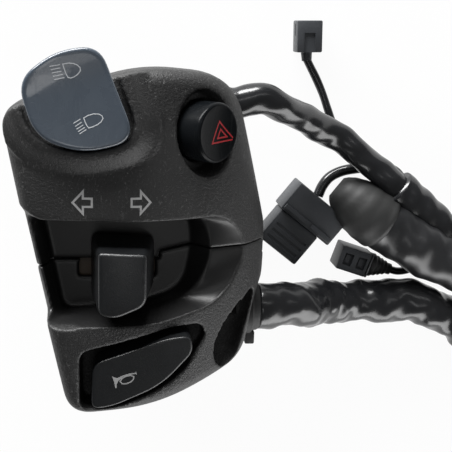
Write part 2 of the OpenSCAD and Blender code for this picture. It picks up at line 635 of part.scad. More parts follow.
module turn_contacts() color(brass_col) translate([0, turn_y, 0]) for (y = [-1.7, 0, 1.7])
    translate([0, y, 0]) block([14, 1.1, contact_t], floor_z + rack_t);

// Horn switch
module horn_button() color(case_col) {
    intersection() {
        translate([0, 0, horn_base_z]) linear_extrude(horn_z + 1 - horn_base_z) polygon(soft(horn_outline));
        at_horn(horn_z - horn_crown_r) rotate([90, 0, -horn_crown_turn])
            cylinder(r = horn_crown_r, h = far, center = true, $fn = 180);
    }
    at_horn(horn_plate_z) cylinder(r = horn_stem_r, h = horn_base_z - horn_plate_z + 1);
}
module horn_contact_plate() color(brass_col) at_horn(horn_plate_z) difference() {
    cylinder(r = horn_plate_r, h = horn_plate_t);
    translate([0, 0, -1]) cylinder(r = horn_stem_r, h = 4);
}
module horn_spring() at_horn(horn_rack_z) coil_spring(2.2, horn_plate_z - horn_rack_z, 0.5, 4);
module horn_switch_base() color(base_col) at_horn(0)
    block([horn_rack[0], horn_rack[1], horn_rack_z - floor_z], floor_z);
module horn_fixed_contacts() color(brass_col) at_horn(0) for (s = [-1, 1]) translate([s*4.4, 0, 0])
    block([1.6, 3, horn_plate_z - horn_travel - slide_gap - horn_rack_z], horn_rack_z);

// Wires and grommets
module upper_wires() color([0.5, 0.12, 0.1]) tube(upper_wire_route, upper_wire_d, 8);
module lower_wires() color([0.15, 0.3, 0.5]) tube(lower_wire_route, lower_wire_d, 8);
module grommet(seat, neck_r, flange_r, sleeve_r) color(black_col) along_x(seat) rotate_extrude()
    polygon([[0, -neck_l], [neck_r, -neck_l], [neck_r, 0], [flange_r, 0], [flange_r, flange_t],
             [sleeve_r + 0.5, flange_t], [sleeve_r, flange_t + nose_t], [0, flange_t + nose_t]]);
module upper_grommet() grommet(upper_seat, upper_neck_r, upper_flange_r, branch_d/2);
module lower_grommet() grommet(lower_seat, lower_neck_r, lower_flange_r, loom_d/2);

// Loom
module upper_branch_sleeve() color(black_col) tube(branch_route, branch_d, 10);
module loom_sleeve() color(black_col) tube(loom_route, loom_d, 10);
module loom_cover() color(black_col) tube(cover_route, cover_d, 12);
module loom_wrap() color(black_col) {
    a = cover_route[len(cover_route) - 1];
    loft([tube_ring(cover_route, len(cover_route) - 1, cover_d/2 - 0.5, 12),
          tube_ring([a, wrap_route[0], wrap_route[1]], 1, wrap_radii[0], 12),
          tube_ring(wrap_route, 1, wrap_radii[1], 12)]);
}
module branch_cuff() color(black_col) difference() {
    taper(cuff_route, cuff_radii, 0, 12);
    rod(cover_axis[0], cover_axis[1], cover_d/2 + slide_gap);
}
module plug_lead() color(black_col) tube(plug_lead_route, plug_lead_d, 8);
module brake_lead() color(black_col) tube(brake_lead_route, brake_lead_d, 8);

// Plugs
module multi_plug_housing() color(black_col) on_bench(multi_at, multi_turn) difference() {
    block(multi_size, 0);
    for (x = [-6.4, -3.2, 0, 3.2, 6.4]) translate([x, multi_size[1]/2, 0]) block([1.6, 1.2, 2], 4);
    translate([0, -multi_size[1]/2, 0]) block([multi_size[0] - 3, 1.6, multi_size[2] - 3], 1.5);
}
module multi_plug_skirt() color(black_col) on_bench(multi_at, multi_turn)
    translate([-1.2, -(multi_size[1] + multi_skirt[1])/2, 0]) difference() {
        block(multi_skirt, 0);
        for (x = [-4, 0, 4]) translate([x, -multi_skirt[1]/2, 0]) block([1.4, 1.2, 1.8], 3.4);
    }
module multi_plug_lock() color([0.3, 0.3, 0.3]) on_bench(multi_at, multi_turn)
    translate([0, -multi_size[1]/2 + 1.5, 0]) block([multi_size[0] - 1, 1.6, 1], multi_size[2]);
module side_plug() color(black_col) on_bench(side_at, side_turn) difference() {
    block(side_size, 0);
    for (x = [-2.4, 2]) translate([x, 0, 0]) block([2.8, 3.8, 1.4], side_size[2] - 1);
}
module side_plug_boot() color(black_col) on_bench(side_at, side_turn) hull() {
    along_x([side_size[0]/2, 0, side_size[2]/2]) cylinder(r = side_size[2]/2 - 0.4, h = 1, $fn = 24);
    along_x([side_size[0]/2 + side_boot_l, 0.3, side_size[2]/2 - 1])
        cylinder(r = side_boot_r, h = 1, $fn = 24);
}
module side_lead() color(black_col) tube(side_lead_route, side_lead_d, 8);
module brake_plug() color(black_col) on_bench(brake_at, brake_turn) difference() {
    block(brake_size, 0);
    for (x = [-1.8, 1.8]) translate([x, brake_size[1]/2, 0]) block([1.8, 2, 2.2], 2.2);
}

upper_case();
lower_case();
case_screws();
beam_rocker();
rocker_pin();
rocker_plunger();
rocker_plunger_spring();
beam_switch_base();
beam_bridge();
beam_contacts();
hazard_button();
hazard_plunger();
hazard_spring();
hazard_switch_body();
hazard_terminals();
turn_knob();
turn_knob_spring();
turn_carriage();
turn_shutter();
turn_wiper();
turn_detent_ball();
turn_detent_spring();
turn_switch_base();
turn_contacts();
horn_button();
horn_spring();
horn_contact_plate();
horn_switch_base();
horn_fixed_contacts();
upper_wires();
lower_wires();
upper_grommet();
lower_grommet();
upper_branch_sleeve();
loom_sleeve();
loom_cover();
loom_wrap();
branch_cuff();
plug_lead();
multi_plug_housing();
multi_plug_skirt();
multi_plug_lock();
side_plug();
side_plug_boot();
side_lead();
brake_lead();
brake_plug();
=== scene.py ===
"""Left-hand handlebar switch cluster on a pale bench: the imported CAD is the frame, and this script gives it
its moulded skins, prints, wrinkled sleeves and finishes."""

import json
import math

import bpy
import numpy as np
from mathutils import Matrix, Vector
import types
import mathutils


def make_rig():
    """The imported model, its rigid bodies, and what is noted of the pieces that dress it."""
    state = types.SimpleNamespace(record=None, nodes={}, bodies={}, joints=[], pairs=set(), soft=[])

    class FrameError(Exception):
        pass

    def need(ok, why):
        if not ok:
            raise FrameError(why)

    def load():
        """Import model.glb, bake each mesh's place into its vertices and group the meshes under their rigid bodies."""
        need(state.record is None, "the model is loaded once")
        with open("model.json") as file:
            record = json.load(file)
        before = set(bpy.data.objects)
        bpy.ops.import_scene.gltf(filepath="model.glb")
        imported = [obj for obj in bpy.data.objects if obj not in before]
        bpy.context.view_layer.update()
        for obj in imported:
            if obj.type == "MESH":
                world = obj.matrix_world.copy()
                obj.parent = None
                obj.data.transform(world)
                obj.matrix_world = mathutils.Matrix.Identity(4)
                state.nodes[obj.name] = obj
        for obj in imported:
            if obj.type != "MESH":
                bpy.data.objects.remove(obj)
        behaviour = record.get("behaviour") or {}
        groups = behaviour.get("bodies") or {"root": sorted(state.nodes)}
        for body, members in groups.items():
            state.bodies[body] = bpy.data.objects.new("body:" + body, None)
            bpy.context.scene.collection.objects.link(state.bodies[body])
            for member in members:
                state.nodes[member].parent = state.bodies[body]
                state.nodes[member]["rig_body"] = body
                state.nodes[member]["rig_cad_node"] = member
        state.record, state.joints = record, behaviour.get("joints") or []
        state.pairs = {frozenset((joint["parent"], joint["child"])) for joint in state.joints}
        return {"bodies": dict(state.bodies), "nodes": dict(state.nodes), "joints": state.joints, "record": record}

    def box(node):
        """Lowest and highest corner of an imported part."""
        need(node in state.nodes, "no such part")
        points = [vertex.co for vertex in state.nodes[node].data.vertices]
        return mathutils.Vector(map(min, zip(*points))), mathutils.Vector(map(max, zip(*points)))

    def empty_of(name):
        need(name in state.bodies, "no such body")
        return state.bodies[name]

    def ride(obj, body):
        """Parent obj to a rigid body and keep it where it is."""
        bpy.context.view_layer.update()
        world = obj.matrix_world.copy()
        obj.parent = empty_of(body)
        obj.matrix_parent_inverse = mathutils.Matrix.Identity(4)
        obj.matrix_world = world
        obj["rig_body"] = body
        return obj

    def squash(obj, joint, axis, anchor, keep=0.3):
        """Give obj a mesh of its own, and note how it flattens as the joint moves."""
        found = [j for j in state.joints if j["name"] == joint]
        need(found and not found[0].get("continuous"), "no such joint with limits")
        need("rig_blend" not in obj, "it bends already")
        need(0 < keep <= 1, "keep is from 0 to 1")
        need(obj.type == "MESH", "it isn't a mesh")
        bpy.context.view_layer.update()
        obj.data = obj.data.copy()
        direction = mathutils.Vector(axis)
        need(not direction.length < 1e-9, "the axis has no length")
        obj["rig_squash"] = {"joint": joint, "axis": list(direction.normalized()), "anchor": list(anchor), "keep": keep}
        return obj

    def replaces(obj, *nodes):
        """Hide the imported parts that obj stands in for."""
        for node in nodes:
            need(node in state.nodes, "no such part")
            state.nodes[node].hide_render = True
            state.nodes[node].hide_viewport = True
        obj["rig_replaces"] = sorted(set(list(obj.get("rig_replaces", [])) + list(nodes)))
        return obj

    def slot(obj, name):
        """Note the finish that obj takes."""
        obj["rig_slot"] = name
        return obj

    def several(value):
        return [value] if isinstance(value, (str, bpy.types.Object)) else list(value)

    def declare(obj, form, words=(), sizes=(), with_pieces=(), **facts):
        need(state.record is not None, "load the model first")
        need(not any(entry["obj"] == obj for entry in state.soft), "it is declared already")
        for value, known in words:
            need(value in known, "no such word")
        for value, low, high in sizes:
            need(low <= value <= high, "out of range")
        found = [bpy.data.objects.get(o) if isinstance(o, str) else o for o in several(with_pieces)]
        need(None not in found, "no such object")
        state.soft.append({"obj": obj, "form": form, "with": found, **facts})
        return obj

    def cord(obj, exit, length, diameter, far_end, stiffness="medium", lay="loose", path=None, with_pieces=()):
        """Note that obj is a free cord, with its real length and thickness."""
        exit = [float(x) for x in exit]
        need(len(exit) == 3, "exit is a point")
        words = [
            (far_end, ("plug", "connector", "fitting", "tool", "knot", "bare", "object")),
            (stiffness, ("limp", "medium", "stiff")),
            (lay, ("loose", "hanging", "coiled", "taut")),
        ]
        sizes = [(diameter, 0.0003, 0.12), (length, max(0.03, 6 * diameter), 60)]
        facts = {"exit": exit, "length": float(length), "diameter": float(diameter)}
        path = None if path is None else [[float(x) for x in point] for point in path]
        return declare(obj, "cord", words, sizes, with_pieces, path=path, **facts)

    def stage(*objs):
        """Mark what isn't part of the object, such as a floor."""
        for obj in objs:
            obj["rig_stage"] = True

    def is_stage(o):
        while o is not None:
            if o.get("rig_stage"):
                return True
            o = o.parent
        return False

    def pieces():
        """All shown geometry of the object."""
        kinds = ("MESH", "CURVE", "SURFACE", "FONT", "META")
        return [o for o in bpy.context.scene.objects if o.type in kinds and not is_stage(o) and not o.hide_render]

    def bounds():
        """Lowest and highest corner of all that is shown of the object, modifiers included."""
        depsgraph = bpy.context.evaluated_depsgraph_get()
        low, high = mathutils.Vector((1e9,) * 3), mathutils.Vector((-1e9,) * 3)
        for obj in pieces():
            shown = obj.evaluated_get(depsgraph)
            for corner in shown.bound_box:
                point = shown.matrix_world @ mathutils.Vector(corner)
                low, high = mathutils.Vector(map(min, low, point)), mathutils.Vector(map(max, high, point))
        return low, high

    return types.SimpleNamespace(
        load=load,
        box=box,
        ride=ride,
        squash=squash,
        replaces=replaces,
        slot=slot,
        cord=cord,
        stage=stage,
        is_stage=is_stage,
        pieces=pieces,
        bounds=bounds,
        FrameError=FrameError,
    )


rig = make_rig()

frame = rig.load()
cad_box = [list(corner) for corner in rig.bounds()]
nodes = frame["nodes"]
MM = 0.001
BENCH = -21.0

# Routes of the cords, of what lies on them and of the wires inside, in millimetres
BRANCH_ROUTE = [
    (28.7, 38.5, 4), (30.6, 38.7, 4), (33.6, 39.4, 3.9), (37.2, 39.6, 3.1), (41, 38.4, 1.6), (45.5, 36.4, -1.2),
    (50, 34.2, -4.8), (55, 31.8, -8.2), (60.5, 29, -10.8), (66, 25.6, -11.8), (71.5, 21.6, -12),
    (77, 17, -12.1), (82.5, 12.6, -12.3), (84.6, 10.9, -12.3)]
CUFF_ROUTE = [(82, 13, -12.3), (88, 8.2, -12.5), (95, 2.8, -12.5), (103, -3.4, -12.5)]
LOOM_ROUTE = [
    (38.2, -18.5, 4), (39.4, -18.5, 4), (42.4, -18.7, 3.2), (46, -19, 2), (51, -19.8, -0.8), (56, -21, -5.2),
    (61, -22.2, -9.7), (66, -23, -12.5), (71, -23.4, -14),
    *((x, y, -14.5) for x, y in (
        (77, -23.5), (85, -23.2), (93, -24.4), (100.5, -27.5), (106, -30.4), (110.5, -34), (114.2, -39),
        (117, -44), (120, -49.6), (124, -54.5), (134.5, -60.5), (146.5, -62), (158, -58), (167, -49),
        (171, -37.5), (170, -25.5), (163.5, -15), (153.5, -8), (141, -6.5))),
    (129.5, -10, -14.1), (118, -14.6, -13), (112, -14.4, -12.5), (106, -12, -12.5)]
COVER_ROUTE = [(106, -12, -12.5), (98, -8.8, -12.5), (89, -4, -12.5), (81, 0.5, -12.5), (74, 4.8, -12.5)]
WRAP_ROUTE = [(78.4, 2.1, -12.5), (74, 4.8, -12.5), (70.4, 7.5, -12.9), (66.6, 10.5, -13.8), (64, 12.5, -14.8)]
PLUG_LEAD_ROUTE = [
    (59.6, 8.9, -19.3), (60.8, 11.9, -19.3), (63, 14.8, -19.3), (66.4, 16.6, -19.3), (70.6, 17.4, -19.3),
    (75, 17.9, -19.3), (79.6, 18, -19.2), (83.4, 16.6, -18.6), (85.4, 13.8, -17.2)]
BRAKE_LEAD_ROUTE = [
    (53.4, 50.5, -19.7), (54.7, 48.2, -19.7), (57, 44.2, -19.7), (59.2, 39.8, -19.7), (61, 35.4, -19.7),
    (62.8, 31.2, -19.7), (65.4, 27.6, -19.5), (68.4, 24.7, -18), (71, 22.4, -15.6)]
SIDE_LEAD_ROUTE = [
    (83.5, -14.2, -17.9), (86.4, -15, -18.4), (89.4, -14.9, -19), (91.8, -14, -19.2), (93.6, -13, -19)]
UPPER_WIRE_ROUTE = [
    (-3.1, 29.3, 15.2), (-2.4, 26.9, 15.2), (0.5, 24.6, 15.2), (6, 23.6, 15.2), (11.4, 24, 15.2),
    (15.2, 24.4, 15), (17.6, 25, 12.4), (18, 26.4, 8.6), (18, 29.4, 5.6), (18, 33.4, 4.4), (18.3, 36.4, 4),
    (19.4, 38.2, 4), (21.2, 38.5, 4)]
LOWER_WIRE_ROUTE = [
    (10.4, -3.6, 16.42), (13.5, -4.6, 16.3), (16.2, -7.4, 15.8), (18.2, -11.4, 15.4), (19, -15.2, 15.2),
    (19.4, -17.9, 13), (19.6, -18.5, 9.5), (20.4, -18.5, 6.2), (23.4, -18.5, 4.3), (30.9, -18.5, 4)]

# Outlines of the case and its switches: corners (x, y, length cut off the sides by the rounding)
FRONT_OUTLINE = [
    (-28.5, 38.5, 6), (-13, -37.5, 6), (9, -35.6, 8), (32.6, -27.6, 5.5), (35.3, -13, 4), (40.2, -1, 6),
    (27.5, 46.8, 11), (4.5, 48.8, 8)]
REAR_OUTLINE = [
    (-19, 12, 4), (-15, -12, 4), (4, -13, 5), (24, -13, 5), (28.6, -8, 3), (30, -1, 4), (26, 12, 5), (4, 13, 5)]
SHELF_OUTLINE = [(-38, 36, 6), (-38, -14, 6), (-7, -14, 6), (-8.5, 12.9, 5), (-20.5, 13.4, 9), (-27.2, 23.5, 6)]
TURN_FLOOR = [
    (-19.8, 12.9, 2), (-14.9, -12.9, 3), (5, -11.5, 4), (15.5, -7.4, 5), (17.6, 4, 6), (16.8, 12.6, 5)]
TURN_LEDGE = [(-20.6, 12.9, 2), (-14.9, -13, 3), (5, -11.6, 4), (18.4, -7, 6), (22.8, 3, 7), (20, 12.7, 6)]
TURN_MOUTH = [(-27, 13.3, 1), (-20, -13, 1), (8, -12.7, 3), (26, -9, 6), (32.6, 3, 7), (26.8, 12.7, 7)]
HORN_POCKET = [
    (-10.2, -19.4, 3), (-10.2, -35.4, 3), (-1.5, -34.8, 3), (9.5, -30.6, 4), (16.2, -26, 4), (21, -17.5, 2.5),
    (19.6, -14.2, 1.8), (12.5, -13.9, 4)]
SCOOP_ROUTE = [
    (33.4, -8.8, 16.6), (31.6, -11.5, 17.6), (29.2, -14.5, 18.8), (27, -18.5, 20.6), (26.6, -22.5, 22.4),
    (27.2, -25.6, 23), (27.6, -27.2, 23.2), (28, -28.4, 23.4)]
SCOOP_RADII = [1.6, 3.4, 4.8, 5.6, 5.4, 4.4, 3, 0.8]
HORN_OUTLINE = [
    (-7, -22.8, 3), (-7.4, -34.6, 3), (-2, -33.8, 3), (10, -28.6, 5), (17.6, -20, 3), (16.8, -15.7, 2),
    (11, -16.2, 3)]
ROCKER_OUTLINE = [
    (-11.3, 8.9, 5), (-11.5, -4.2, 5.5), (-2.6, -10.6, 6), (9.9, -11.4, 6), (8.3, 11.1, 6.5), (-1.2, 12.6, 5)]
KNOB_OUTLINE = [(-5.6, 6.3, 1.2), (-5.6, -9.2, 2.2), (-1.5, -10, 2), (5.9, -6.8, 2.5), (5.9, 5.8, 1.2)]

# The face: its top and its radii to the right of the crest, to the left and along the case
FACE_Z, FACE_R, CREST_X, LEFT_R, LONG_R = 36, 50, -4, 120, 300
WALL, RIM_R, FLOOR_Z, BAR_R, MOUTH_R = 2.4, 3.4, 13.5, 11.1, 13.3
TURN_Y, RECESS_Z, LEDGE_Z, HORN_FLOOR_Z = -2.4, 20.5, 25, 25
HORN_X, HORN_Y = 4, -24.5
SCREW_X, SCREW_Z, REAR_SCREW_X, REAR_SCREW_Z = 27, 16.5, 4, -16
BRANCH_Y, LOOM_Y, EXIT_Z = 38.5, -18.5, 4
PIVOT_Y, PIVOT_Z = -5, -6.5
FAR, ABOVE = 80, 60  # past the case on every side, and above its face
PARTING, VOXEL, CASE_TRIANGLES = 0.05, 0.42, 120000
CENTRE = 0.02  # the share that a ring shrinks to in the middle of a face
INK_UP, INK_DOWN, INK_STEP = 0.03, 0.06, 0.5


def turn(axis, degrees):
    return np.array(Matrix.Rotation(math.radians(degrees), 4, axis))


def shift(x, y, z):
    return np.array(Matrix.Translation((x, y, z)))


ON_PAD = shift(-10, 41, 35.7) @ turn("X", -8) @ turn("Z", 18)
ON_PIVOT = ON_PAD @ shift(0, PIVOT_Y, PIVOT_Z)
ON_CAP = ON_PIVOT @ turn("X", 7) @ shift(0, -PIVOT_Y, -PIVOT_Z)
ON_HAZARD = shift(18.9, 33.6, 25.6) @ turn("Y", 43)
ON_MULTI = shift(57, 4.7, BENCH) @ turn("Z", -38)
ON_SIDE = shift(71, -10.4, BENCH) @ turn("Z", -18)
ON_BRAKE = shift(53.3, 56.4, BENCH) @ turn("Z", 2)
HERE = np.eye(4)


# Curves and outlines, in millimetres
def distances(line):
    """How far along a line each of its points is."""
    return np.concatenate([[0], np.cumsum(np.linalg.norm(np.diff(line, axis=0), axis=1))])


def unit(rows):
    return rows / np.linalg.norm(rows, axis=1)[:, None]


def circle(sides):
    """Angles evenly round a circle."""
    return np.arange(sides) * 2 * math.pi / sides


def smooth_route(points, step=1.0):
    """Points at even steps on a smooth curve through a route."""
    p = [np.array(q, float) for q in points]
    p = [2 * p[0] - p[1], *p, 2 * p[-1] - p[-2]]
    line = []
    for a, b, c, d in zip(p, p[1:], p[2:], p[3:]):
        for t in np.linspace(0, 1, 24, endpoint=False):
            line.append(0.5 * (2 * b + (c - a) * t + (2 * a - 5 * b + 4 * c - d) * t**2
                               + (3 * b - a - 3 * c + d) * t**3))
    line.append(p[-2])
    line = np.array(line)
    run = distances(line)
    at = np.linspace(0, run[-1], int(run[-1] / step) + 1)
    return np.column_stack([np.interp(at, run, line[:, k]) for k in range(3)])


def soft(corners, steps=8):
    """A rounded outline: each corner becomes a curve."""
    c = np.array(corners, float)
    points = []
    for i, (x, y, cut) in enumerate(c):
        p, a, b = c[i, :2], c[i - 1, :2] - c[i, :2], c[(i + 1) % len(c), :2] - c[i, :2]
        la, lb = np.linalg.norm(a), np.linalg.norm(b)
        cut = min(cut, 0.46 * la, 0.46 * lb)
        for t in np.linspace(0, 1, steps + 1):
            points.append(p + cut * ((1 - t)**2 * a / la + t**2 * b / lb))
    return np.array(points)


def finer(step, *outlines):
    """Outlines cut point for point into short steps, which are measured on the first of them."""
    first = outlines[0]
    counts = np.ceil(np.linalg.norm(np.roll(first, -1, 0) - first, axis=1) / step).astype(int).clip(1)
    return [np.concatenate([p + (q - p) * np.arange(n)[:, None] / n
                            for p, q, n in zip(o, np.roll(o, -1, 0), counts)]) for o in outlines]


def rounded(corners, step):
    return finer(step, soft(corners))[0]


def inset(outline, depth):
    """An outline moved inwards."""
    t = unit(np.roll(outline, -1, 0) - np.roll(outline, 1, 0))
    return outline + depth * np.column_stack([-t[:, 1], t[:, 0]])


def at_height(outline, z):
    return np.column_stack([outline, np.broadcast_to(z, len(outline))])


def moved(points, place):
    points = np.asarray(points, float)
    return points @ place[:3, :3].T + place[:3, 3]


def ease(t):
    t = np.clip(t, 0, 1)
    return t * t * (3 - 2 * t)


# Modelling by hand
def deselect():
    bpy.ops.object.select_all(action="DESELECT")


def choose(*pieces):
    """Selects some pieces alone, with the first of them active."""
    deselect()
    for piece in pieces:
        piece.select_set(True)
    bpy.context.view_layer.objects.active = pieces[0]


def rename(piece, name):
    piece.name = piece.data.name = name
    return piece


def named(name):
    """The object that an operator has just made, with its name and its place applied."""
    piece = rename(bpy.context.object, name)
    bpy.ops.object.transform_apply(location=True, rotation=True, scale=True)
    return piece


def edit(piece, *steps):
    """Runs operators on a piece in edit mode, with all of it selected first."""
    choose(piece)
    bpy.ops.object.mode_set(mode="EDIT")
    bpy.ops.mesh.select_all(action="SELECT")
    for step in steps:
        step()
    bpy.ops.object.mode_set(mode="OBJECT")
    return piece


def finished(piece, kind, **settings):
    """Adds a modifier to a piece and applies it."""
    choose(piece)
    modifier = piece.modifiers.new(kind.lower(), kind)
    for key, value in settings.items():
        setattr(modifier, key, value)
    bpy.ops.object.modifier_apply(modifier=modifier.name)
    return piece


def carve(piece, *cutters, operation="DIFFERENCE"):
    """Cuts other pieces out of a piece, or joins or keeps what is in them, and removes them."""
    for cutter in cutters:
        finished(piece, "BOOLEAN", object=cutter, operation=operation, solver="EXACT")
        bpy.data.objects.remove(cutter)
    return piece


def fill_holes():
    """A step in edit mode: closes what is open."""
    bpy.ops.mesh.select_all(action="DESELECT")
    bpy.ops.mesh.select_non_manifold()
    bpy.ops.mesh.fill_holes(sides=0)


def mended(piece):
    """Closes the hairline cracks that cuts leave in a piece."""
    return edit(piece, lambda: bpy.ops.mesh.remove_doubles(threshold=0.004 * MM),
                lambda: bpy.ops.mesh.dissolve_degenerate(threshold=0.002 * MM),
                lambda: bpy.ops.mesh.delete_loose(), fill_holes)


def joined(name, pieces):
    """Several pieces as one, each still a closed form."""
    choose(*pieces)
    bpy.ops.object.join()
    return rename(pieces[0], name)


def put(piece, place):
    """Moves a piece's mesh by a place in millimetres."""
    m = Matrix(place.tolist())
    m.translation *= MM
    piece.data.transform(m)
    return piece


def softened(piece, angle=35):
    """Smooth shading over all but the sharp edges."""
    choose(piece)
    bpy.ops.object.shade_smooth_by_angle(angle=math.radians(angle))
    return piece


def skin(name, rings, close=True):
    """A grid wrapped over rings of points, in millimetres, and closed at both ends."""
    rings = np.array(rings, float)
    count, around = rings.shape[:2]
    deselect()
    bpy.ops.mesh.primitive_grid_add(x_subdivisions=around, y_subdivisions=count - 1, size=1)
    piece = named(name)
    wrapped = np.concatenate([rings, rings[:, :1]], axis=1) * MM
    piece.data.vertices.foreach_set("co", wrapped.astype(np.float32).ravel())
    edit(piece, lambda: bpy.ops.mesh.remove_doubles(threshold=1e-7))
    if close:
        edit(piece, fill_holes)
    edit(piece, lambda: bpy.ops.mesh.normals_make_consistent(inside=False))
    piece.data.shade_smooth()
    return piece


def tube(name, route, radius, sides=32, step=0.8, shape=None, rest=None):
    """A tube along a route; shape(s, angles, length) may change its radius, and rest is what it lies on."""
    line = smooth_route(route, step)
    run = distances(line)
    angles = circle(sides)
    rings = []
    for i, p in enumerate(line):
        ahead = line[min(i + 1, len(line) - 1)] - line[max(i - 1, 0)]
        ahead /= np.linalg.norm(ahead)
        side = np.cross(ahead, (0, 0, 1))
        side /= np.linalg.norm(side)
        up = np.cross(side, ahead)
        r = np.broadcast_to(radius * (shape(run[i], angles, run[-1]) if shape else 1.0), sides)
        rings.append(p + r[:, None] * (np.cos(angles)[:, None] * side + np.sin(angles)[:, None] * up))
    rings = np.array(rings)
    if rest is not None:
        rings[:, :, 2] = np.maximum(rings[:, :, 2], rest + 0.02)
    return skin(name, rings), [tuple(p * MM) for p in line], run[-1] * MM


def prism(outline, low, high, place=HERE):
    return skin("prism", moved([at_height(outline, low), at_height(outline, high)], place))


def box(low, high, place=HERE):
    deselect()
    low, high = np.array(low, float), np.array(high, float)
    bpy.ops.mesh.primitive_cube_add(size=1, location=(low + high) / 2 * MM, scale=(high - low) * MM)
    return put(named("box"), place)


def rod(start, end, radius, end_radius=None, place=HERE, sides=48):
    deselect()
    a, b = (Vector(moved(p, place)) * MM for p in (start, end))
    bpy.ops.mesh.primitive_cone_add(vertices=sides, radius1=radius * MM,
                                    radius2=(radius if end_radius is None else end_radius) * MM,
                                    depth=(b - a).length, location=(a + b) / 2,
                                    rotation=(b - a).to_track_quat("Z", "Y").to_euler())
    return named("rod")


def turned(name, profile, place=HERE, sides=64):
    """A form turned about the place's Z axis from points (radius, z)."""
    angles = circle(sides)
    rings = [np.column_stack([r * np.cos(angles), r * np.sin(angles), np.full(sides, z)]) for r, z in profile]
    return skin(name, moved(rings, place))


def domed(name, outline, low, fillet, top, rings_below=(), middle=None, steps=12):
    """A button over an outline: a wall from low, a rounded edge, and a face at height top(x, y)."""
    middle = np.mean(outline, axis=0) if middle is None else np.array(middle, float)
    rings = list(rings_below) or [at_height(inset(outline, 0.25), low), at_height(outline, low + 0.25)]
    for a in np.radians(np.arange(0, 91, 15)):
        o = inset(outline, fillet * (1 - math.cos(a)))
        rings.append(at_height(o, top(*o.T) - fillet * (1 - math.sin(a))))
    edge = inset(outline, fillet)
    for s in np.linspace(1, CENTRE, steps)[1:]:
        o = middle + s * (edge - middle)
        rings.append(at_height(o, top(*o.T)))
    return skin(name, rings)


# Case
def face_at(x, y):
    """Height of the case's face over a point."""
    dx = x - CREST_X
    right = FACE_R - np.sqrt(np.maximum(FACE_R**2 - np.maximum(dx, 0)**2, 0))
    return FACE_Z - right - np.minimum(dx, 0)**2 / (2 * LEFT_R) - y**2 / (2 * LONG_R)


def case_form(depth):
    """The case's outer form, moved inwards by depth: walls from the rear, the rounded rim and the face."""
    front, rear = finer(1.1, soft(FRONT_OUTLINE), soft(REAR_OUTLINE))
    front, rear = inset(front, depth), inset(rear, depth)
    rings = []
    for s in np.linspace(0, 1, 26)[:-1]**1.6:
        o = rear + (1 - (1 - s)**4) * (front - rear)
        rings.append(at_height(o, BENCH + s * (face_at(*front.T) - depth - RIM_R - BENCH)))
    roll = RIM_R - min(depth, RIM_R - 1)
    for a in np.radians(np.arange(0, 90, 10)):
        o = inset(front, roll * (1 - math.cos(a)))
        rings.append(at_height(o, face_at(*o.T) - depth - RIM_R * (1 - math.sin(a))))
    edge, middle = inset(front, roll), np.array([4, 6])
    for s in np.linspace(1, CENTRE, 28):
        o = middle + s * (edge - middle)
        rings.append(at_height(o, face_at(*o.T) - depth))
    return skin("case_form", rings)


def pad_form():
    """The raised pad round the beam rocker, with a soft slope down to the face."""
    outline = rounded(ROCKER_OUTLINE, 1.0)
    rings = [at_height(outline, 0)]
    start, end, drop = 2.0, 7.9, 3.7
    for out in np.linspace(start, end, 16):
        rings.append(at_height(inset(outline, -out), -drop * ease((out - start) / (end - start))))
    rings.append(at_height(inset(outline, -8.0), -9))
    front = rounded(FRONT_OUTLINE, 1.1)
    return carve(skin("pad_form", moved(rings, ON_PAD)), prism(inset(front, 0.4), FLOOR_Z, 70),
                 operation="INTERSECT")


def turn_hollow(grow):
    """The turn recess: a deep part with a crisp edge, and a shallow band from there out to the mouth."""
    outlines = finer(1.2, *(soft(o) for o in (TURN_LEDGE, TURN_FLOOR, TURN_MOUTH)))
    ledge, floor, mouth = (inset(o, -grow) for o in outlines)
    rings = [at_height(floor, RECESS_Z - grow)]
    for s in np.linspace(0, 1, 9):
        o = ledge + s * (mouth - ledge)
        rings.append(at_height(o, LEDGE_Z - grow + s * (face_at(*mouth.T) - LEDGE_Z)))
    rings.append(at_height(ledge + 1.25 * (mouth - ledge), FACE_Z + 4))
    return skin("turn_hollow", rings)


def horn_hollow(grow):
    outline = rounded(HORN_POCKET, 1.2)
    return prism(inset(outline, -grow), HORN_FLOOR_Z - grow, ABOVE)


def hazard_well(grow):
    """The oval well round the hazard button, wider at its mouth."""
    sides, oval = 64, 0.74
    a = circle(sides)
    rings = [np.column_stack([oval * r * np.cos(a) - 1, r * np.sin(a), np.full(sides, z)])
             for r, z in ((9.4 + grow, -1 - grow), (12.8 + grow, 8 - grow))]
    return skin("hazard_well", moved(rings, ON_HAZARD))


def left_shelf():
    """The low rim at the left end of the turn recess, which rounds over into the wall."""
    outline = rounded(SHELF_OUTLINE, 1.0)
    foot = inset(outline, 3)
    middle = foot.mean(axis=0)
    height, drop, roll = 28.6, 2.6, 2.8
    edge_x, edge_y, _ = FRONT_OUTLINE[0]
    rings = []
    for s in np.linspace(CENTRE, 1, 12):
        o = middle + s * (foot - middle)
        inside = (o[:, 0] - edge_x) * 0.98 + (o[:, 1] - edge_y) * 0.2
        rings.append(at_height(o, height - drop * (np.clip(roll - inside, 0, 5) / roll)**2))
    rings += [at_height(inset(outline, 1.2), 32), at_height(outline, 36.5), at_height(outline, ABOVE)]
    return skin("left_shelf", rings)


def screw_scoop(grow):
    """The leaf-shaped scoop below the front screw."""
    route = np.array(SCOOP_ROUTE, float)
    for end, beside in ((0, 1), (-1, -2)):
        out = route[end] - route[beside]
        route[end] += out / np.linalg.norm(out) * grow
    run = distances(route)
    return tube("scoop", route, 1, 40, 0.8,
                lambda s, a, total: np.interp(s / total, run / run[-1], np.array(SCOOP_RADII) + grow))[0]


def screw_rod(low, high, radius):
    return rod((SCREW_X, low, SCREW_Z), (SCREW_X, high, SCREW_Z), radius)


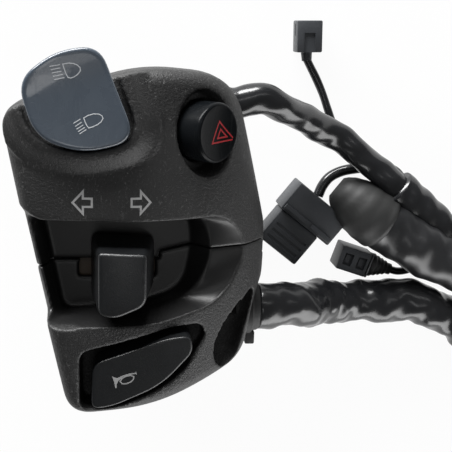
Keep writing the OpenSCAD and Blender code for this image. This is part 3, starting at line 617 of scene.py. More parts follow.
def rocker_ears():
    ears = []
    for side in (-1, 1):
        x = side * 7.5
        ear = box((x - 1.1, -3, -3), (x + 1.1, 3, 3.5), ON_PIVOT)
        ears.append(carve(ear, rod((x - 3, 0, 0), (x + 3, 0, 0), 1.25, place=ON_PIVOT, sides=24)))
    return ears


def case_cavity():
    """The hollow inside of the case: what is left between its wall and the wells, bosses and ears."""
    cavity = carve(case_form(WALL), box((-FAR, -FAR, FLOOR_Z), (FAR, FAR, FAR)), operation="INTERSECT")
    return carve(cavity, turn_hollow(1.6), horn_hollow(1.8), hazard_well(1.8),
                 rod((0, 0, -7.5), (0, 0, 4.5), 9.35, place=ON_HAZARD), screw_rod(-12, 12, 4.2),
                 screw_rod(-16.5, -8, 5.3), screw_scoop(1.2), *rocker_ears())


def case_halves():
    """The moulded case, cut at its stepped parting line into the upper and the lower half."""
    case = carve(case_form(0), pad_form(), operation="UNION")
    cap = rounded(ROCKER_OUTLINE, 1.0)
    bar = turned("bar", [(0, -70), (MOUTH_R, -70), (MOUTH_R, -16), (BAR_R, -16), (BAR_R, 30.5), (MOUTH_R, 30.5),
                         (MOUTH_R, 70), (0, 70)], turn("Y", 90), 96)
    screws = [turned("screw_way", [(0, start), (3.6, start), (3.6, -9), (2, -9), (2, 13), (0, 13)],
                     shift(x, 0, z) @ turn("X", -90), 40)
              for x, z, start in ((SCREW_X, SCREW_Z, -17), (REAR_SCREW_X, REAR_SCREW_Z, -60))]
    seats = [turned("seat", [(0, start), (neck, start), (neck, seat), (flange, seat), (flange, 60), (0, 60)],
                    shift(0, y, EXIT_Z) @ turn("Y", 90), 48)
             for start, neck, seat, flange, y in ((18.5, 4, 24.5, 6, BRANCH_Y), (21, 5, 34.3, 8.3, LOOM_Y))]
    carve(case, case_cavity(), turn_hollow(0), left_shelf(), horn_hollow(0), hazard_well(0),
          rod((0, 0, -8.5), (0, 0, 14), 7.55, place=ON_HAZARD, sides=64),
          prism(inset(cap, -1.2), -2.4, 20, ON_PAD), box((-6.5, -5.5, -0.5), (6.5, 5.5, 4.7), ON_PIVOT),
          box((-10.8, TURN_Y - 2.2, 17.5), (8.4, TURN_Y + 2.2, ABOVE)),
          rod((HORN_X, HORN_Y, 13), (HORN_X, HORN_Y, ABOVE), 3.25),
          screw_scoop(0), screw_rod(-16.5, -8.9, 3.8), bar, *screws, *seats,
          box((14.5, 21.5, 1), (21.5, 42.5, 17.5)), box((17, -22.5, 1), (21.4, -14.5, 14.5)))
    choose(case)
    bpy.ops.object.duplicate()
    lower = bpy.context.object
    step = np.array([(9.5, -3), (FAR, -3), (FAR, 4), (17.5, 4), (9.5, 2)])
    halves = []
    for half, name, gap, operation in ((case, "upper_case_moulding", PARTING, "DIFFERENCE"),
                                       (lower, "lower_case_moulding", -PARTING, "INTERSECT")):
        below = carve(box((-FAR, -FAR, -ABOVE), (FAR, gap, ABOVE)),
                      prism(inset(step, -gap), FLOOR_Z - gap, ABOVE), operation="UNION")
        mended(carve(half, below, operation=operation))
        finished(half, "REMESH", mode="VOXEL", voxel_size=VOXEL * MM)
        finished(half, "SMOOTH", factor=0.5, iterations=5)
        finished(half, "DECIMATE", ratio=min(1, CASE_TRIANGLES / (2 * len(half.data.polygons))))
        half.data.shade_smooth()
        halves.append(rename(half, name))
    return halves


# Switches
def cap_top(x, y):
    """Height of the rocker's face in its own frame: two planes that meet in a soft crease."""
    d = y - 5.8
    return 1.72 + 0.1 * (np.sqrt(d**2 + 6) - 2.4) + 0.042 * d


def rocker_cap():
    """The rocker with its stem, the hole for its pin and the bore of its plunger."""
    outline = rounded(ROCKER_OUTLINE, 0.8)
    cap = domed("beam_rocker_cap", outline, -0.8, 0.8, cap_top, middle=(-1, 0), steps=22)
    carve(cap, box((-6, -7.8, -10), (6, -1, 0.2)), operation="UNION")
    carve(cap, box((-3, -7.6, -14.6), (3, -2.4, -9.5)), operation="UNION")
    carve(cap, rod((-20, PIVOT_Y, PIVOT_Z), (20, PIVOT_Y, PIVOT_Z), 1.5, sides=32),
          rod((0, PIVOT_Y, -15.6), (0, PIVOT_Y, -9.6), 1.7, sides=32))
    return softened(put(cap, ON_CAP), 30)


def hazard_cap():
    return softened(turned("hazard_button_cap", [
        (0, -5), (2.2, -5), (2.2, 2.5), (5.7, 2.5), (5.7, -5), (7.3, -5), (7.3, 4.75), (7.24, 5.1), (7.08, 5.4),
        (6.85, 5.6), (6.6, 5.68), (6.35, 5.62), (5.6, 5.48), (4, 5.28), (2, 5.14), (0.6, 5.1), (0, 5.1)],
        ON_HAZARD, 96), 40)


def knob_top(x, y):
    return 38.6 - 0.012 * x**2 - 0.004 * (y + 1.5)**2


def turn_knob():
    outline = rounded(KNOB_OUTLINE, 0.6)
    wide = inset(outline * (1.2, 1), -0.9)
    low, rise = 23.1, 14.4
    below = [at_height(wide + s * (outline - wide), low + rise * s) for s in np.linspace(0, 1, 8)]
    knob = domed("turn_knob_grip", outline, low, 0.9, knob_top, rings_below=below)
    return softened(carve(knob, box((-3.65, TURN_Y - 2.05, 20), (3.65, TURN_Y + 2.05, 33))), 40)


def horn_top(x, y):
    return 35 - (0.866 * (x - HORN_X) - 0.5 * (y - HORN_Y))**2 / 140


def horn_cap():
    outline = rounded(HORN_OUTLINE, 0.8)
    horn = domed("horn_button_cap", outline, 27.9, 0.55, horn_top, steps=16)
    stem = rod((HORN_X, HORN_Y, 22.25), (HORN_X, HORN_Y, 28.9), 3)
    return softened(carve(horn, stem, operation="UNION"), 40)


def coil(name, radius, height, wire, turns, place):
    """A coil spring that stands on the place's origin, along its Z axis."""
    t = np.linspace(0, 1, 16 * turns + 1)
    a = 2 * math.pi * turns * t
    route = np.column_stack([radius * np.cos(a), radius * np.sin(a), wire / 2 + (height - wire) * t])
    return tube(name, moved(route, place), wire / 2, 10, 0.35)[0]


# Prints
def stroke(path, width, height, place=HERE, closed=False):
    """A painted line along a path, lying on a surface of that height."""
    path = np.array(path, float)
    ends = np.roll(path, -1, 0) if closed else path[1:]
    dense = [p + (q - p) * np.linspace(0, 1, max(2, int(np.linalg.norm(q - p) / INK_STEP) + 1))[:-1, None]
             for p, q in zip(path, ends)]
    path = np.concatenate(dense if closed else [*dense, path[-1:]])
    step = unit(np.roll(path, -1, 0) - path)
    before = np.roll(step, 1, 0)
    if not closed:
        step[-1], before[0] = before[-1], step[0]
    a, b = (np.column_stack([-t[:, 1], t[:, 0]]) for t in (before, step))
    side = (a + b) / (1 + (a * b).sum(axis=1))[:, None] * width / 2
    rings = []
    for left, right in zip(path + side, path - side):
        (lx, ly), (rx, ry) = left, right
        lz, rz = height(lx, ly), height(rx, ry)
        rings.append([(lx, ly, lz + INK_UP), (rx, ry, rz + INK_UP), (rx, ry, rz - INK_DOWN),
                      (lx, ly, lz - INK_DOWN)])
    if closed:
        rings.append(rings[0])
    return softened(skin("stroke", moved(rings, place), close=not closed), 30)


def patch(outline, height):
    """A painted area on a surface of that height."""
    o = np.array(outline, float)
    z = height(*o.T)
    return softened(skin("patch", [at_height(o, z - INK_DOWN), at_height(o, z + INK_UP)]), 30)


def beam_prints():
    """High and low beam signs on the rocker."""
    high = [(-0.55, 9.4), (-0.56, 8.41), (-0.53, 7.26), (-0.37, 6.35), (0.12, 6.07), (0.97, 6.09), (1.93, 6.44),
            (2.69, 6.98), (2.8, 7.64), (2.36, 8.39), (1.69, 8.89), (0.76, 9.27)]
    low = [(0.13, -3.03), (0.16, -3.9), (0.27, -4.75), (0.51, -5.46), (1.43, -5.46), (2.55, -5.31),
           (3.52, -4.96), (4.18, -4.37), (4.13, -3.71), (3.56, -3.16), (2.51, -2.79), (1.24, -2.77)]
    lines = [((-3.42, 9.73), (-1.16, 9.46)), ((-3.38, 8.99), (-1.26, 8.77)), ((-3.38, 8.25), (-1.28, 8.04)),
             ((-3.38, 7.5), (-1.2, 7.28)), ((-3.38, 6.75), (-1.08, 6.55)), ((-2.37, -3.51), (-0.59, -3.03)),
             ((-2.24, -4.26), (-0.53, -3.77)), ((-2.11, -4.93), (-0.42, -4.45)),
             ((-1.98, -5.55), (-0.28, -5.07)), ((-1.84, -6.12), (-0.09, -5.61))]
    return joined("beam_prints", [stroke(o, 0.2, cap_top, ON_CAP, closed=True) for o in (high, low)]
                  + [stroke(o, 0.18, cap_top, ON_CAP) for o in lines])


def hazard_top(x, y):
    return 5.1 + 0.0113 * (x * x + y * y)


def hazard_print():
    """The double-outlined warning triangle on the hazard button."""
    outer = np.array([(0.58, 2.7), (-1.8, -2.4), (5.9, -1.9)])
    inner = outer.mean(axis=0) + 0.42 * (outer - outer.mean(axis=0))
    return joined("hazard_print", [stroke(o, 0.36, hazard_top, ON_HAZARD, closed=True) for o in (outer, inner)])


def arrow_prints():
    """Outlined arrows left and right above the turn recess."""
    arrows = []
    for tip, head, tail in ((-11.4, -9.05, -7.0), (6.55, 4.3, 2.15)):
        outline = [(tip, 17.63), (head, 20.2), (head, 18.6), (tail, 18.6), (tail, 16.68), (head, 16.68),
                   (head, 15.08)]
        arrows.append(stroke(outline, 0.5, face_at, closed=True))
    return joined("arrow_prints", arrows)


def horn_print():
    """The bugle sign on the horn button."""
    bell = [(-2.27, -25.79), (-1.73, -27.37), (-1.5, -28.8), (-1.18, -28.97), (-1.12, -27.86), (-0.64, -26.92),
            (0.22, -26.3), (0.01, -25.92), (-0.86, -26.33), (-1.8, -26.12)]
    mouth = [(3.25, -25.14), (3.79, -25.47), (3.59, -24.6)]
    tube_line = [(-0.86, -26.4), (0.44, -25.75), (1.74, -25.35), (2.83, -25.16), (3.5, -25.03)]
    loop = [(-0.31, -27.17), (0.22, -26.33), (1.2, -25.78), (2.29, -25.6), (3.01, -25.93), (2.95, -26.64),
            (2.3, -27.33), (1.21, -27.79), (0.23, -27.77)]
    return joined("horn_print", [patch(bell, horn_top), patch(mouth, horn_top),
                                 stroke(tube_line, 0.32, horn_top),
                                 stroke(loop[::-1], 0.3, horn_top, closed=True)])


# Finishes
class Field:
    """A value that changes over a surface; arithmetic on it adds Math nodes to its finish."""

    def __init__(self, finish, socket):
        self.finish, self.socket = finish, socket

    def math(self, operation, a, b=0.0):
        return self.finish.node("ShaderNodeMath", {"operation": operation}, {0: a, 1: b})

    def __add__(self, other):
        return self.math("ADD", self, other)

    def __sub__(self, other):
        return self.math("SUBTRACT", self, other)

    def __rsub__(self, other):
        return self.math("SUBTRACT", other, self)

    def __mul__(self, other):
        return self.math("MULTIPLY", self, other)

    __radd__, __rmul__ = __add__, __mul__

    def between(self, low, high):
        """0 below low, 1 above high, and smooth between them."""
        return self.finish.node("ShaderNodeMapRange", {"interpolation_type": "SMOOTHSTEP"},
                                {"Value": self, "From Min": low, "From Max": high})


class Finish:
    """A procedural material on the piece's own coordinates, in metres."""

    def __init__(self, name, **constants):
        self.material = bpy.data.materials.new(name)
        self.material.use_nodes = True
        self.tree = self.material.node_tree
        self.shader = self.tree.nodes["Principled BSDF"]
        self.place = self.node("ShaderNodeTexCoord", out="Object")
        for socket, value in constants.items():
            self.shader.inputs[socket.replace("_", " ")].default_value = value

    def node(self, kind, settings=None, sockets=None, out=0):
        node = self.tree.nodes.new(kind)
        for key, value in (settings or {}).items():
            if key == "stops":
                ramp = node.color_ramp
                while len(ramp.elements) < len(value):
                    ramp.elements.new(1)
                for element, (position, colour) in zip(ramp.elements, value):
                    element.position, element.color = position, (*colour, 1)
            else:
                setattr(node, key, value)
        for key, value in (sockets or {}).items():
            self.link(node.inputs[key], value)
        return Field(self, node.outputs[out])

    def link(self, socket, value):
        if isinstance(value, Field):
            self.tree.links.new(value.socket, socket)
        else:
            socket.default_value = value

    def feed(self, **sockets):
        for socket, value in sockets.items():
            self.link(self.shader.inputs[socket.replace("_", " ")], value)
        return self

    def noise(self, scale, detail=2.0, roughness=0.5, stretch=None, distortion=0.0):
        """Noise with features of about 1/scale metres, stretched along the axes."""
        place = self.place
        if stretch:
            place = self.node("ShaderNodeMapping", {}, {"Vector": place, "Scale": stretch})
        return self.node("ShaderNodeTexNoise", {}, {"Vector": place, "Scale": scale, "Detail": detail,
                                                    "Roughness": roughness, "Distortion": distortion})

    def shades(self, value, *stops):
        """Colours along a value."""
        return self.node("ShaderNodeValToRGB", {"stops": stops}, {"Fac": value})

    def blend(self, share, a, b):
        """Colour a where share is 0 and colour b where it is 1."""
        a, b = (v if isinstance(v, Field) else (*v, 1) for v in (a, b))
        return self.node("ShaderNodeMix", {"data_type": "RGBA"}, {0: share, 6: a, 7: b}, out=2)

    def bump(self, height, distance):
        normal = self.node("ShaderNodeBump", {}, {"Height": height, "Distance": distance, "Strength": 1.0})
        return self.feed(Normal=normal)


# Pale grey that the scuffs and specks lighten the plastic towards; the specks are partly a dusting and partly painted
# glints of the grain.
DUST_SCUFF_AND_GLINT_GREY = (0.15, 0.15, 0.147)


def recess_mask(f):
    """1 in the smooth turn recess of the case, 0 on its grained face."""
    x, y, z = (f.node("ShaderNodeSeparateXYZ", {}, {0: f.place}, out=axis) * 1000 for axis in "XYZ")
    right = x.math("MAXIMUM", x - CREST_X, 0.0)
    face = FACE_Z - FACE_R + x.math("SQRT", FACE_R**2 - right * right) - y * y * (0.5 / LONG_R)
    return ((face - z).between(0.2, 0.7) * x.between(-21, -20) * x.between(33.5, 32.5)
            * y.between(-13.3, -12.6) * y.between(13.5, 12.9))


def moulded_finish(name, dark, light, rough, grain, depth, specks=0.0, recess=False):
    """Grained moulded plastic: cloudy sheen, fine scuffs, and pale specks in its colour that are partly a light dusting
    and partly painted glints of the grain.
    """
    f = Finish(name, Specular_IOR_Level=0.5)
    outside = 1 - recess_mask(f) if recess else 1.0
    fine = f.noise(grain, 2.0, 0.6)
    cloud = f.noise(70, 3.0)
    scuff = f.noise(1500, 2.0, 0.6, stretch=(1, 0.35, 1), distortion=1.2).between(0.6, 0.72) * cloud
    # Pale specks in the colour: partly a dusting, partly painted glints of the grain.
    dust_and_glints = f.noise(grain * 1.3, 3.0, 0.7).between(0.62, 0.74)
    plastic = f.shades(cloud * outside, (0.3, dark), (0.7, light))
    # Painted glints: the specks, with the scuffs, lighten the base colour outside the recess.
    f.feed(Base_Color=f.blend((dust_and_glints + 0.6 * scuff) * specks * outside, plastic, DUST_SCUFF_AND_GLINT_GREY),
           Roughness=rough - 0.28 + 0.16 * cloud + 0.12 * fine + outside * 0.16)
    return f.bump((fine + 0.4 * f.noise(grain * 2.3, 1.0) + 0.5 * scuff) * outside, depth)


def gloss_finish(name, dark, light, rough, coat, sheen=0.5):
    """Polished plastic with faint smudges and hairline scratches."""
    f = Finish(name, Coat_Roughness=0.06, IOR=1.5, Specular_IOR_Level=sheen)
    smudge = f.noise(140, 4.0, 0.6, distortion=0.6)
    hair = f.noise(900, 2.0, stretch=(1, 0.06, 1)).between(0.6, 0.72)
    f.feed(Base_Color=f.shades(smudge, (0.3, dark), (0.75, light)),
           Roughness=rough + 0.14 * smudge + 0.08 * hair, Coat_Weight=coat - 0.3 * smudge)
    return f.bump(f.noise(1500, 2.0) * 0.3 + hair * 0.2, 0.00002)


def vinyl_finish(name, dark, light, rough, crease, depth=0.0004, stretch=(1, 1, 1)):
    """Soft vinyl: a glossy skin with long creases and dull patches, with painted shade that darkens the hollows of the
    creases and lightens their crests.
    """
    f = Finish(name, Specular_IOR_Level=0.6)
    folds = f.noise(crease, 2.0, 0.45, stretch=stretch, distortion=0.6)
    dull = f.noise(55, 3.0)
    fine = f.noise(1400, 2.0)
    # Painted shade: the colour follows the crease bump, darker in the hollows and lighter on the crests.
    f.feed(Base_Color=f.shades(folds, (0.3, dark), (0.8, light)), Roughness=rough + 0.16 * dull + 0.05 * fine)
    return f.bump(folds + 0.03 * fine, depth)


def metal_finish(name, dark, light, rough):
    """Bright metal with drawing marks and slight tarnish."""
    f = Finish(name, Metallic=1.0)
    marks = f.noise(600, 3.0, stretch=(1, 1, 9))
    tarnish = f.noise(180, 4.0, 0.6)
    f.feed(Base_Color=f.shades(tarnish, (0.35, light), (0.7, dark)), Roughness=rough + 0.25 * marks)
    return f.bump(marks, 0.00001)


def paint_finish(name, colour, worn):
    """Printed ink with a slightly broken edge and thin spots."""
    f = Finish(name, Specular_IOR_Level=0.4)
    thin = f.noise(1500, 3.0, 0.7).between(0.55, 0.8)
    f.feed(Base_Color=f.blend(thin * 0.6, colour, worn), Roughness=0.4 + 0.2 * thin)
    return f.bump(f.noise(2500, 2.0), 0.00001)


FINISHES = {
    "case": moulded_finish("grained_case", (0.012, 0.012, 0.0122), (0.018, 0.018, 0.0181),
                           rough=0.5, grain=1600, depth=0.00017, specks=0.8, recess=True),
    "knob": moulded_finish("satin_knob", (0.006, 0.0067, 0.0076), (0.009, 0.0099, 0.011),
                           rough=0.34, grain=2600, depth=0.00003, specks=0.15),
    "rocker": gloss_finish("slate_rocker", (0.05, 0.064, 0.083), (0.064, 0.08, 0.1), rough=0.2, coat=0.6),
    "gloss_black": gloss_finish("polished_black", (0.0035, 0.0042, 0.005), (0.006, 0.0068, 0.0076),
                                rough=0.16, coat=0.15, sheen=0.08),
    "white": paint_finish("print_grey_white", (0.56, 0.58, 0.6), (0.3, 0.32, 0.34)),
    "arrow": paint_finish("print_grey", (0.36, 0.36, 0.36), (0.22, 0.22, 0.22)),
    "red": paint_finish("print_red", (0.36, 0.008, 0.012), (0.22, 0.006, 0.008)),
    "sleeve": vinyl_finish("gloss_vinyl", (0.009, 0.0095, 0.0105), (0.017, 0.0175, 0.019),
                           rough=0.12, crease=60, stretch=(0.4, 1, 1)),
    "cover": vinyl_finish("satin_vinyl", (0.012, 0.0125, 0.0135), (0.02, 0.0205, 0.022),
                          rough=0.22, crease=60, stretch=(0.6, 0.9, 1)),
    "wrap": vinyl_finish("tape", (0.013, 0.0135, 0.0135), (0.021, 0.0215, 0.021),
                         rough=0.48, crease=120, depth=0.0003),
    "rubber": moulded_finish("rubber", (0.012, 0.012, 0.012), (0.018, 0.018, 0.018),
                             rough=0.6, grain=1200, depth=0.00004),
    "plug": moulded_finish("plug_plastic", (0.032, 0.035, 0.0395), (0.044, 0.0475, 0.053),
                           rough=0.4, grain=1500, depth=0.00004, specks=0.2),
    "base": moulded_finish("tan_base", (0.36, 0.24, 0.14), (0.46, 0.33, 0.2),
                           rough=0.5, grain=900, depth=0.00004),
    "shutter": moulded_finish("brown_shutter", (0.06, 0.042, 0.028), (0.1, 0.07, 0.046),
                              rough=0.5, grain=900, depth=0.00003),
    "brass": metal_finish("brass", (0.5, 0.33, 0.12), (0.74, 0.55, 0.27), 0.2),
    "steel": metal_finish("spring_steel", (0.42, 0.42, 0.42), (0.62, 0.62, 0.61), 0.22),
    "zinc_steel": metal_finish("zinc_plate", (0.4, 0.39, 0.36), (0.62, 0.61, 0.58), 0.3),
}
for wire, wire_dark, wire_light in (
        ("red_wire", (0.2, 0.012, 0.012), (0.32, 0.03, 0.025)),
        ("blue_wire", (0.012, 0.05, 0.16), (0.03, 0.09, 0.26)),
        ("yellow_wire", (0.42, 0.28, 0.02), (0.56, 0.4, 0.05)),
        ("green_wire", (0.015, 0.12, 0.03), (0.03, 0.2, 0.06))):
    FINISHES[wire] = vinyl_finish(wire, wire_dark, wire_light, rough=0.32, crease=500)


def fit(piece, body, finish, *replaced, slot=None):
    """Gives a piece its finish and its body, and says which CAD nodes it stands for."""
    piece.data.materials.clear()
    piece.data.materials.append(FINISHES[finish].material)
    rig.ride(piece, body)
    if replaced:
        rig.replaces(piece, *replaced)
    if slot:
        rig.slot(piece, slot)
    return piece


# Stage and camera
deselect()
bpy.ops.mesh.primitive_plane_add(size=4, location=(0, 0, BENCH * MM))
bench = named("bench")
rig.stage(bench)
bpy.ops.object.camera_add(location=(0, 0.05813, 0.22625),
                          rotation=[math.radians(a) for a in (-13.643, -6.836, 1.959)])
camera = bpy.context.object
camera.data.lens = 66.35
camera.data.sensor_width = 36
camera.data.clip_start = 0.01
bpy.context.scene.camera = camera
bpy.context.scene.view_settings.view_transform = "Standard"


# Cords
def slack(*waves):
    """A sleeve's folds: waves (share, turns per mm, lobes, phase) that die out at both ends."""
    def shape(s, a, total):
        fade = min(1, s / 6, (total - s) / 6)
        return 1 + fade * sum(share * np.sin(turns * s + lobes * a + phase)
                              for share, turns, lobes, phase in waves)
    return shape


def wrap_radius(s, a, total):
    """The wrap: full over the cover, rounded off at its end, with the turns of the tape."""
    radius = np.interp(s / total, [0, 0.06, 0.3, 0.5, 0.7, 0.85, 0.95, 1],
                       [8.4, 8.9, 8.8, 8.3, 7.3, 6, 4.6, 3.4])
    return radius * (1 + 0.012 * np.sin(0.7 * s + 2 * a) + 0.006 * np.sin(1.7 * s + 1.2 * np.cos(a)))


def cuff_radius(s, a, total):
    """The cuff: narrower towards its end, with soft folds."""
    return np.interp(s / total, [0, 0.3, 0.65, 1], [5.7, 5.6, 5.1, 4.0]) * (1 + 0.03 * np.sin(0.9 * s + 2 * a))


loom, loom_line, loom_length = tube(
    "loom_sleeve_vinyl", LOOM_ROUTE, 6.5, 48, 0.7,
    slack((0.06, 0.4, 1, 0.4), (0.05, 0.23, 2, 1.7), (0.026, 0.74, -3, 0.2), (0.016, 1.2, 4, 2.1)), BENCH)
branch, branch_line, branch_length = tube(
    "upper_branch_sleeve_vinyl", BRANCH_ROUTE, 4.1, 48, 0.6,
    slack((0.06, 0.38, 1, 1.4), (0.05, 0.21, 2, 0.6), (0.022, 0.8, -3, 2.2)), BENCH)
plug_lead, plug_line, plug_length = tube("plug_lead_cable", PLUG_LEAD_ROUTE[::-1], 1.6, 20, 0.5,
                                         slack((0.03, 0.5, 1, 0)), BENCH)
brake_lead, brake_line, brake_length = tube("brake_lead_cable", BRAKE_LEAD_ROUTE[::-1], 1.2, 20, 0.5,
                                            slack((0.03, 0.5, 2, 0)), BENCH)
for piece, node in ((loom, "loom_sleeve"), (branch, "upper_branch_sleeve"), (plug_lead, "plug_lead"),
                    (brake_lead, "brake_lead")):
    fit(piece, "housing", "sleeve", node, slot="sleeve")

# What is on the cords
cover = tube("loom_cover_vinyl", COVER_ROUTE, 8.5, 56, 0.6,
             slack((0.035, 0.3, 1, 0.4), (0.028, 0.5, -2, 1.2), (0.012, 1.1, 4, 0.5)), BENCH)[0]
wrap = tube("loom_wrap_tape", WRAP_ROUTE, 1, 48, 0.5, wrap_radius, BENCH)[0]
cuff = tube("branch_cuff_vinyl", CUFF_ROUTE, 1, 48, 0.6, cuff_radius, BENCH)[0]
side_lead = tube("side_lead_cable", SIDE_LEAD_ROUTE, 1.2, 20, 0.4)[0]
ribs = [(6.4 + 5.85 * t, 3.65 - 1.85 * t + 0.16 * math.sin(t * 25), 0.3 * t, 4.1 - t)
        for t in np.linspace(0.05, 1, 18)]
boot = skin("side_boot_rubber", moved([
    [(x, r * math.cos(a) + y, r * math.sin(a) + z) for a in circle(32)]
    for x, r, y, z in [(5.25, 3.55, 0, 4.1), (5.5, 3.7, 0, 4.1), (6.4, 3.65, 0, 4.1), *ribs,
                       (13.25, 1.75, 0.3, 3.1)]], ON_SIDE))


def block(low, high, bevel):
    """A cube with rounded edges between two corners."""
    return edit(box(low, high), lambda: bpy.ops.mesh.bevel(offset=bevel * MM, segments=2, affect="EDGES"))


def multi_housing():
    piece = block((-9.5, -4.8, 0), (9.5, 4.8, 10), 0.5)
    for x in (-6.4, -3.2, 0, 3.2, 6.4):
        carve(piece, box((x - 0.8, 3.6, 4), (x + 0.8, 5.4, 6)))
    carve(piece, box((-8, -5.6, 1.5), (8, -3.2, 8.5)), box((-9.9, 4.4, 7.6), (9.9, 5.4, 8)))
    return piece


def multi_skirt():
    piece = block((-8.45, -15.8, 0), (6.05, -4.8, 8.4), 0.6)
    for x in (-5.2, -1.2, 2.8):
        carve(piece, box((x - 0.7, -16.4, 3.4), (x + 0.7, -14.6, 5.2)))
    for y in (-13.4, -11.2, -9):
        carve(piece, box((-7, y - 0.35, 8.0), (4.6, y + 0.35, 9)))
    return piece


def multi_lock():
    piece = block((-9, -4.1, 10), (9, -2.5, 11), 0.3)
    return carve(piece, box((-1.2, -4.5, 10.6), (1.2, -2.1, 11.5)))


def side_housing():
    piece = block((-5.25, -3.8, 0), (5.25, 3.8, 8.2), 0.5)
    for x in (-2.4, 2):
        carve(piece, box((x - 1.4, -1.9, 7.2), (x + 1.4, 1.9, 9)))
    carve(piece, box((-5.6, -4.2, 3.6), (5.6, -3.5, 4.1)), box((4.2, -4.2, -1), (4.6, 4.2, 9.2)))
    for x in (-2.4, 2):
        carve(piece, block((x - 0.9, -1.3, 6.6), (x + 0.9, 1.3, 7.6), 0.15), operation="UNION")
    return piece


def brake_housing():
    piece = block((-3.7, -4.5, 0), (3.7, 4.5, 6.4), 0.4)
    for x in (-1.8, 1.8):
        carve(piece, box((x - 0.9, 3.5, 2.2), (x + 0.9, 5.5, 4.4)))
    carve(piece, box((-1.6, -5, 5.9), (1.6, 1, 7)), box((-4, 0.2, 3), (-3.4, 3.4, 3.8)))
    return carve(piece, rod((0, -4, 1.75), (0.2, -7, 1.6), 1.7, 1.45, sides=32), operation="UNION")


plugs = []
for make, place, name, node in (
        (multi_housing, ON_MULTI, "multi_plug_shell", "multi_plug_housing"),
        (multi_skirt, ON_MULTI, "multi_plug_socket", "multi_plug_skirt"),
        (multi_lock, ON_MULTI, "multi_plug_clip", "multi_plug_lock"),
        (side_housing, ON_SIDE, "side_plug_shell", "side_plug"),
        (brake_housing, ON_BRAKE, "brake_plug_shell", "brake_plug")):
    piece = softened(put(rename(make(), name), place), 30)
    plugs.append(fit(piece, "housing", "plug", node, slot="plug"))
*multi_pieces, side_piece, brake_piece = plugs
fit(cover, "housing", "cover", "loom_cover", slot="cover")
fit(wrap, "housing", "wrap", "loom_wrap", slot="cover")
fit(cuff, "housing", "sleeve", "branch_cuff", slot="cover")
fit(side_lead, "housing", "sleeve", "side_lead", slot="sleeve")
fit(boot, "housing", "rubber", "side_plug_boot", slot="sleeve")
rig.cord(loom, exit=loom_line[0], length=loom_length, diameter=0.013, far_end="connector", stiffness="medium",
        lay="loose", path=loom_line, with_pieces=[cover, wrap, cuff, side_lead, boot, side_piece])
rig.cord(branch, exit=branch_line[0], length=branch_length, diameter=0.0082, far_end="object",
        stiffness="medium", lay="loose", path=branch_line)
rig.cord(plug_lead, exit=plug_line[0], length=plug_length, diameter=0.0032, far_end="connector",
        stiffness="medium", lay="loose", path=plug_line, with_pieces=multi_pieces)
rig.cord(brake_lead, exit=brake_line[0], length=brake_length, diameter=0.0024, far_end="connector",
        stiffness="medium", lay="loose", path=brake_line, with_pieces=[brake_piece])


# Wires inside the case, as bundles of five
WIRE_FINISHES = ("red_wire", "blue_wire", "yellow_wire", "green_wire", "sleeve")


def wire_bundle(name, route):
    """Five thin wires twisted along a route."""
    line = smooth_route(route, 0.8)
    run = distances(line)
    ahead = unit(np.gradient(line, axis=0))
    side = unit(np.cross(ahead, (0.37, 0.21, 0.9)))
    up = np.cross(side, ahead)
    for i, finish in enumerate(WIRE_FINISHES):
        a = run * 0.16 + i * 2 * math.pi / len(WIRE_FINISHES)
        path = line + 0.95 * (np.cos(a)[:, None] * side + np.sin(a)[:, None] * up)
        yield tube(f"{name}_{i + 1}", path, 0.55, 10, 0.8)[0], finish


for name, route, node in (("upper_wire", UPPER_WIRE_ROUTE, "upper_wires"),
                          ("lower_wire", LOWER_WIRE_ROUTE, "lower_wires")):
    for piece, finish in wire_bundle(name, route):
        fit(piece, "housing", finish, node, slot="wire")

# Grommet of the loom, with the tab that holds it
grommet = turned("lower_grommet_rubber", [
    (0, 31), (4.5, 31), (4.8, 31.3), (4.8, 34), (7.4, 34), (7.7, 34.3), (7.7, 35.9), (7.4, 36.2), (7.1, 36.2),
    (6.95, 36.6), (6.8, 37.6), (6.5, 38.2), (0, 38.2)], shift(0, LOOM_Y, EXIT_Z) @ turn("Y", 90), 72)
carve(grommet, block((34.7, -29.2, 2), (37.4, -25.4, 6.4), 0.4), operation="UNION")
fit(softened(grommet, 35), "housing", "rubber", "lower_grommet", slot="rubber")

# Case, switches and prints
upper, lower = case_halves()
fit(upper, "housing", "case", "upper_case", slot="case")
fit(lower, "housing", "case", "lower_case", slot="case")
fit(rocker_cap(), "rocker", "rocker", "beam_rocker", slot="rocker")
fit(hazard_cap(), "hazard", "gloss_black", "hazard_button", slot="gloss_black")
fit(turn_knob(), "knob", "knob", "turn_knob", slot="case")
fit(horn_cap(), "horn", "knob", "horn_button", slot="case")
fit(beam_prints(), "rocker", "white")
fit(hazard_print(), "hazard", "red")
fit(arrow_prints(), "housing", "arrow")
fit(horn_print(), "horn", "arrow")

# Springs that the buttons press: (node, body, joint and its travel, radius, height, wire, turns, place)
HORN_SPRING_FOOT = 14.9
horn_spring_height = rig.box("horn_spring")[1][2] / MM - HORN_SPRING_FOOT - 0.05
for node, body, joint, travel, radius, height, wire, turns, place in (
        ("hazard_spring", "housing", "hazard_push", 3.0, 3.7, 11.45, 0.5, 6, ON_HAZARD @ shift(0, 0, -9)),
        ("turn_knob_spring", "carriage", "turn_cancel_push", 2.0, 1.2, 3.45, 0.35, 3, shift(0, TURN_Y, 29.5)),
        ("horn_spring", "housing", "horn_push", 2.5, 2.2, horn_spring_height, 0.5, 4,
         shift(HORN_X, HORN_Y, HORN_SPRING_FOOT))):
    spring = fit(coil(node + "_coil", radius, height, wire, turns, place), body, "steel", node, slot="steel")
    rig.squash(spring, joint, axis=place[:3, 2].tolist(), anchor=(place[:3, 3] * MM).tolist(),
              keep=1 - travel / height)

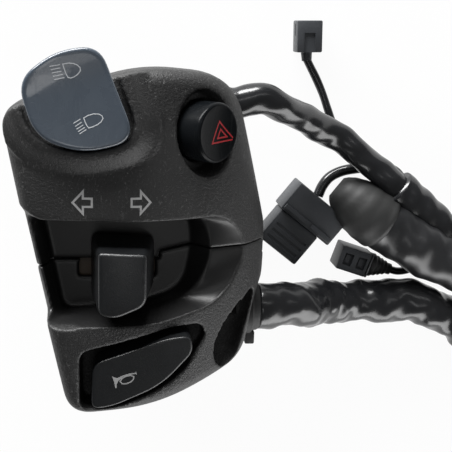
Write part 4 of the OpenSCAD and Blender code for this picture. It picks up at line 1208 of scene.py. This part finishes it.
# Finishes of the CAD nodes that stay
STAYING = {
    "zinc_steel": ["case_screws"],
    "steel": ["rocker_pin", "rocker_plunger", "rocker_plunger_spring", "turn_detent_ball",
              "turn_detent_spring"],
    "brass": ["beam_bridge", "beam_contacts", "hazard_terminals", "turn_wiper", "turn_contacts",
              "horn_contact_plate", "horn_fixed_contacts"],
    "base": ["beam_switch_base", "hazard_plunger", "hazard_switch_body", "turn_carriage", "turn_switch_base",
             "horn_switch_base"],
    "shutter": ["turn_shutter"],
    "rubber": ["upper_grommet"],
}
for finish, names in STAYING.items():
    for name in names:
        if not nodes[name].material_slots:
            nodes[name].data.materials.append(None)
        for place in nodes[name].material_slots:
            place.material = FINISHES[finish].material


# Light
LAMP_AIM = Vector((0.02, 0, 0))
WORLD_LIGHT, BENCH_WHITE = 0.11, 0.95


def lamp(name, at, size, energy):
    bpy.ops.object.light_add(type="AREA", location=at)
    light = bpy.context.object
    light.name = name
    light.data.shape = "RECTANGLE"
    light.data.size, light.data.size_y = size
    light.data.energy = energy
    light.rotation_euler = (LAMP_AIM - Vector(at)).to_track_quat("-Z", "Y").to_euler()


lamp("back_softbox", (-0.2, 0.58, 0.14), (0.6, 0.2), 11)
lamp("front_softbox", (0.3, -0.5, 0.15), (0.8, 0.3), 3.5)
lamp("strip_light", (-0.015, -0.028, 0.55), (0.1, 0.03), 0.045)
lamp("sleeve_light", (0.1, 0.3, 0.48), (0.6, 0.04), 0.2)
lamp("rocker_light", (0.04, -0.09, 0.53), (0.08, 0.06), 0.036)
world = bpy.data.worlds.new("studio")
bpy.context.scene.world = world
world.use_nodes = True
sky = world.node_tree.nodes["Background"].inputs
sky["Color"].default_value, sky["Strength"].default_value = (1, 1, 1, 1), WORLD_LIGHT

# The bench: paper that looks white to the camera and in reflections
paper = Finish("bench_paper")
paper.feed(Base_Color=paper.shades(paper.noise(40, 3.0), (0.3, (0.86, 0.86, 0.86)), (0.7, (0.9, 0.9, 0.9))),
           Roughness=0.7 + 0.1 * paper.noise(900))
ray = {name: paper.node("ShaderNodeLightPath", out=name)
       for name in ("Is Camera Ray", "Is Glossy Ray", "Is Transmission Ray")}
white = paper.node("ShaderNodeEmission", {}, {"Color": (1, 1, 1, 1), "Strength": 1.0})
shown = paper.node("ShaderNodeMixShader", {}, {
    0: (ray["Is Camera Ray"] + ray["Is Glossy Ray"] + ray["Is Transmission Ray"]) * BENCH_WHITE,
    1: Field(paper, paper.shader.outputs[0]), 2: white})
paper.link(paper.tree.nodes["Material Output"].inputs["Surface"], shown)
bench.data.materials.append(paper.material)

with open("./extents.json", "w") as f:
    json.dump({"cad": cad_box, "final": [list(corner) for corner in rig.bounds()]}, f)
